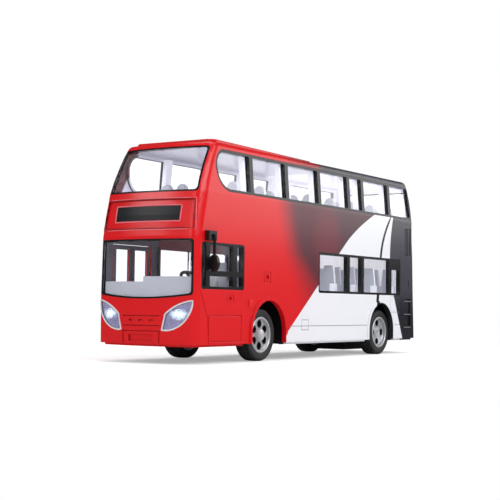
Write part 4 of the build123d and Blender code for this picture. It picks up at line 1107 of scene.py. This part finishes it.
# Underside: ribs by rear end, front end and inner edge, and the battery cover's latch and grip
RIBS = [(30.0, 44.0, 29.0), (110.0, 150.0, 29.0), (-165.0, -132.0, 27.0), (108.0, 150.0, 11.0)]
RIB_WIDTH = 1.0
RIB_BOTTOM, RIB_TOP = 10.9, 11.6
GRIP_FIRST, GRIP_PITCH, GRIP_COUNT = 10.0, 2.2, 5
GRIP_WIDTH, GRIP_HALF = 1.0, 7.0
LATCH_LOW, LATCH_HIGH = (22.5, -4.0, 10.8), (25.2, 4.0, 11.7)
made = bmesh.new()
for rear, front, edge in RIBS:
    for side in SIDES.values():
        inner, outer = sorted((side * edge, side * (edge + RIB_WIDTH)))
        bar(made, (rear, inner, RIB_BOTTOM), (front, outer, RIB_TOP), soft=0.2)
piece("tray_ribs", made, materials["chassis_black"], "root")
made = bmesh.new()
bar(made, LATCH_LOW, LATCH_HIGH, soft=0.3)
for groove in range(GRIP_COUNT):
    rear = GRIP_FIRST + GRIP_PITCH * groove
    bar(made, (rear, -GRIP_HALF, RIB_BOTTOM), (rear + GRIP_WIDTH, GRIP_HALF, RIB_TOP), soft=0.2)
piece("battery_latch", made, materials["chassis_black"], "root")

# Floor: how far it reaches and where it turns white, in metres; its looks, and how much it shines by itself
FLOOR_REACH = 6.0
FLOOR_FADE = (0.19, 0.42)
FLOOR_COLOUR = (0.95, 0.95, 0.95)
FLOOR_MIRRORED = (0.16, 0.16, 0.17)
FLOOR_ROUGHNESS = 0.9
FLOOR_LIFT = 0.35


def floor_finish():
    """Pale under the bus, white away from it, and darker in mirrored light."""
    tree = Finish("floor_white")
    far = tree.node("ShaderNodeVectorMath", operation="LENGTH")
    tree.links.new(tree.node("ShaderNodeTexCoord").outputs["Object"], far.inputs[0])
    path = tree.node("ShaderNodeLightPath").outputs
    mirrored = tree.math("SUBTRACT", path["Is Glossy Ray"], path["Is Transmission Ray"], clamp=True)
    seen = tree.math("MAXIMUM", path["Is Camera Ray"], path["Is Transmission Ray"])
    away = tree.times(tree.ramp(far.outputs["Value"], *FLOOR_FADE), seen)
    tree.set(Base_Color=tree.mix(mirrored, FLOOR_COLOUR, FLOOR_MIRRORED))
    tree.set(Roughness=FLOOR_ROUGHNESS, Specular_IOR_Level=0.0)
    tree.set(Emission_Color=FULL_WHITE, Emission_Strength=tree.times(seen, FLOOR_LIFT))
    white = tree.node("ShaderNodeEmission")
    tree.feed(white.inputs["Color"], FULL_WHITE)
    blend = tree.node("ShaderNodeMixShader")
    tree.links.new(away, blend.inputs[0])
    tree.links.new(tree.shader.outputs[0], blend.inputs[1])
    tree.links.new(white.outputs[0], blend.inputs[2])
    tree.links.new(blend.outputs[0], tree.output.inputs["Surface"])
    return tree.material


def floor():
    """A wide floor that keeps the shadow of the bus."""
    mesh = bpy.data.meshes.new("floor")
    made = bmesh.new()
    bmesh.ops.create_grid(made, x_segments=1, y_segments=1, size=FLOOR_REACH)
    made.to_mesh(mesh)
    made.free()
    mesh.materials.append(floor_finish())
    plane = bpy.data.objects.new("floor", mesh)
    bpy.context.scene.collection.objects.link(plane)


floor()

# Lamps, in metres and watts: name, place, what it aims at, width and height, power
LAMPS = [
    ("key", (0.3, 1.4, 1.0), (0.0, 0.0, 0.08), (1.3, 0.8), 12.4),
    ("fill", (1.5, 0.1, 0.6), (0.0, 0.0, 0.08), (0.7, 0.7), 2.2),
    ("top", (-0.1, 0.0, 1.5), (0.0, 0.0, 0.0), (1.4, 1.0), 8.6),
    ("side_glint", (-0.95, 0.62, 0.46), (0.0, 0.04, 0.10), (0.8, 0.6), 2.5),
    ("front_glint", (0.95, -0.62, 0.62), (0.165, 0.0, 0.11), (0.5, 0.4), 2.2),
]
for name, place, target, (width, height), power in LAMPS:
    light = bpy.data.lights.new(name, "AREA")
    light.shape = "RECTANGLE"
    light.size = width
    light.size_y = height
    light.energy = power
    lamp = bpy.data.objects.new(name, light)
    bpy.context.scene.collection.objects.link(lamp)
    lamp.location = place
    lamp.rotation_euler = (Vector(target) - Vector(place)).to_track_quat("-Z", "Y").to_euler()

# The surroundings' strength on surfaces, in mirrored light, and seen through glass; white to the camera
AROUND = 0.38
MIRRORED = 0.08
THROUGH_GLASS = 1.3
world = bpy.data.worlds.new("studio")
bpy.context.scene.world = world
world.use_nodes = True
sky = Graph(world.node_tree)
path = sky.node("ShaderNodeLightPath").outputs
seen = sky.math("MAXIMUM", path["Is Camera Ray"], path["Is Transmission Ray"])
mirrored = sky.math("GREATER_THAN", path["Is Glossy Ray"], seen)
around = sky.line(mirrored, MIRRORED - AROUND, AROUND)
bright = sky.math("MAXIMUM", path["Is Camera Ray"], sky.times(path["Is Transmission Ray"], THROUGH_GLASS))
background = sky.nodes["Background"]
sky.feed(background.inputs["Color"], FULL_WHITE)
sky.feed(background.inputs["Strength"], sky.math("MAXIMUM", around, bright))

# Camera at the angle of the photograph
CAMERA_PLACE = (0.78818, 0.48457, 0.03907)
CAMERA_YAW = math.radians(-147.105)
CAMERA_PITCH = math.radians(2.681)
CAMERA_ROLL = math.radians(0.829)
CAMERA_LENS = 85.38
SENSOR_WIDTH = 36.0
CLIP_START = 0.01
ahead = Vector((
    math.cos(CAMERA_PITCH) * math.cos(CAMERA_YAW),
    math.cos(CAMERA_PITCH) * math.sin(CAMERA_YAW),
    math.sin(CAMERA_PITCH),
))
level_right = ahead.cross(Vector((0, 0, 1))).normalized()
level_up = level_right.cross(ahead)
right = level_right * math.cos(CAMERA_ROLL) + level_up * math.sin(CAMERA_ROLL)
up = level_up * math.cos(CAMERA_ROLL) - level_right * math.sin(CAMERA_ROLL)
lens = bpy.data.cameras.new("camera")
lens.lens = CAMERA_LENS
lens.sensor_width = SENSOR_WIDTH
lens.clip_start = CLIP_START
camera = bpy.data.objects.new("camera", lens)
bpy.context.scene.collection.objects.link(camera)
camera.matrix_world = Matrix.Translation(CAMERA_PLACE) @ Matrix((right, up, -ahead)).transposed().to_4x4()
bpy.context.scene.camera = camera
bpy.context.scene.view_settings.view_transform = "Standard"
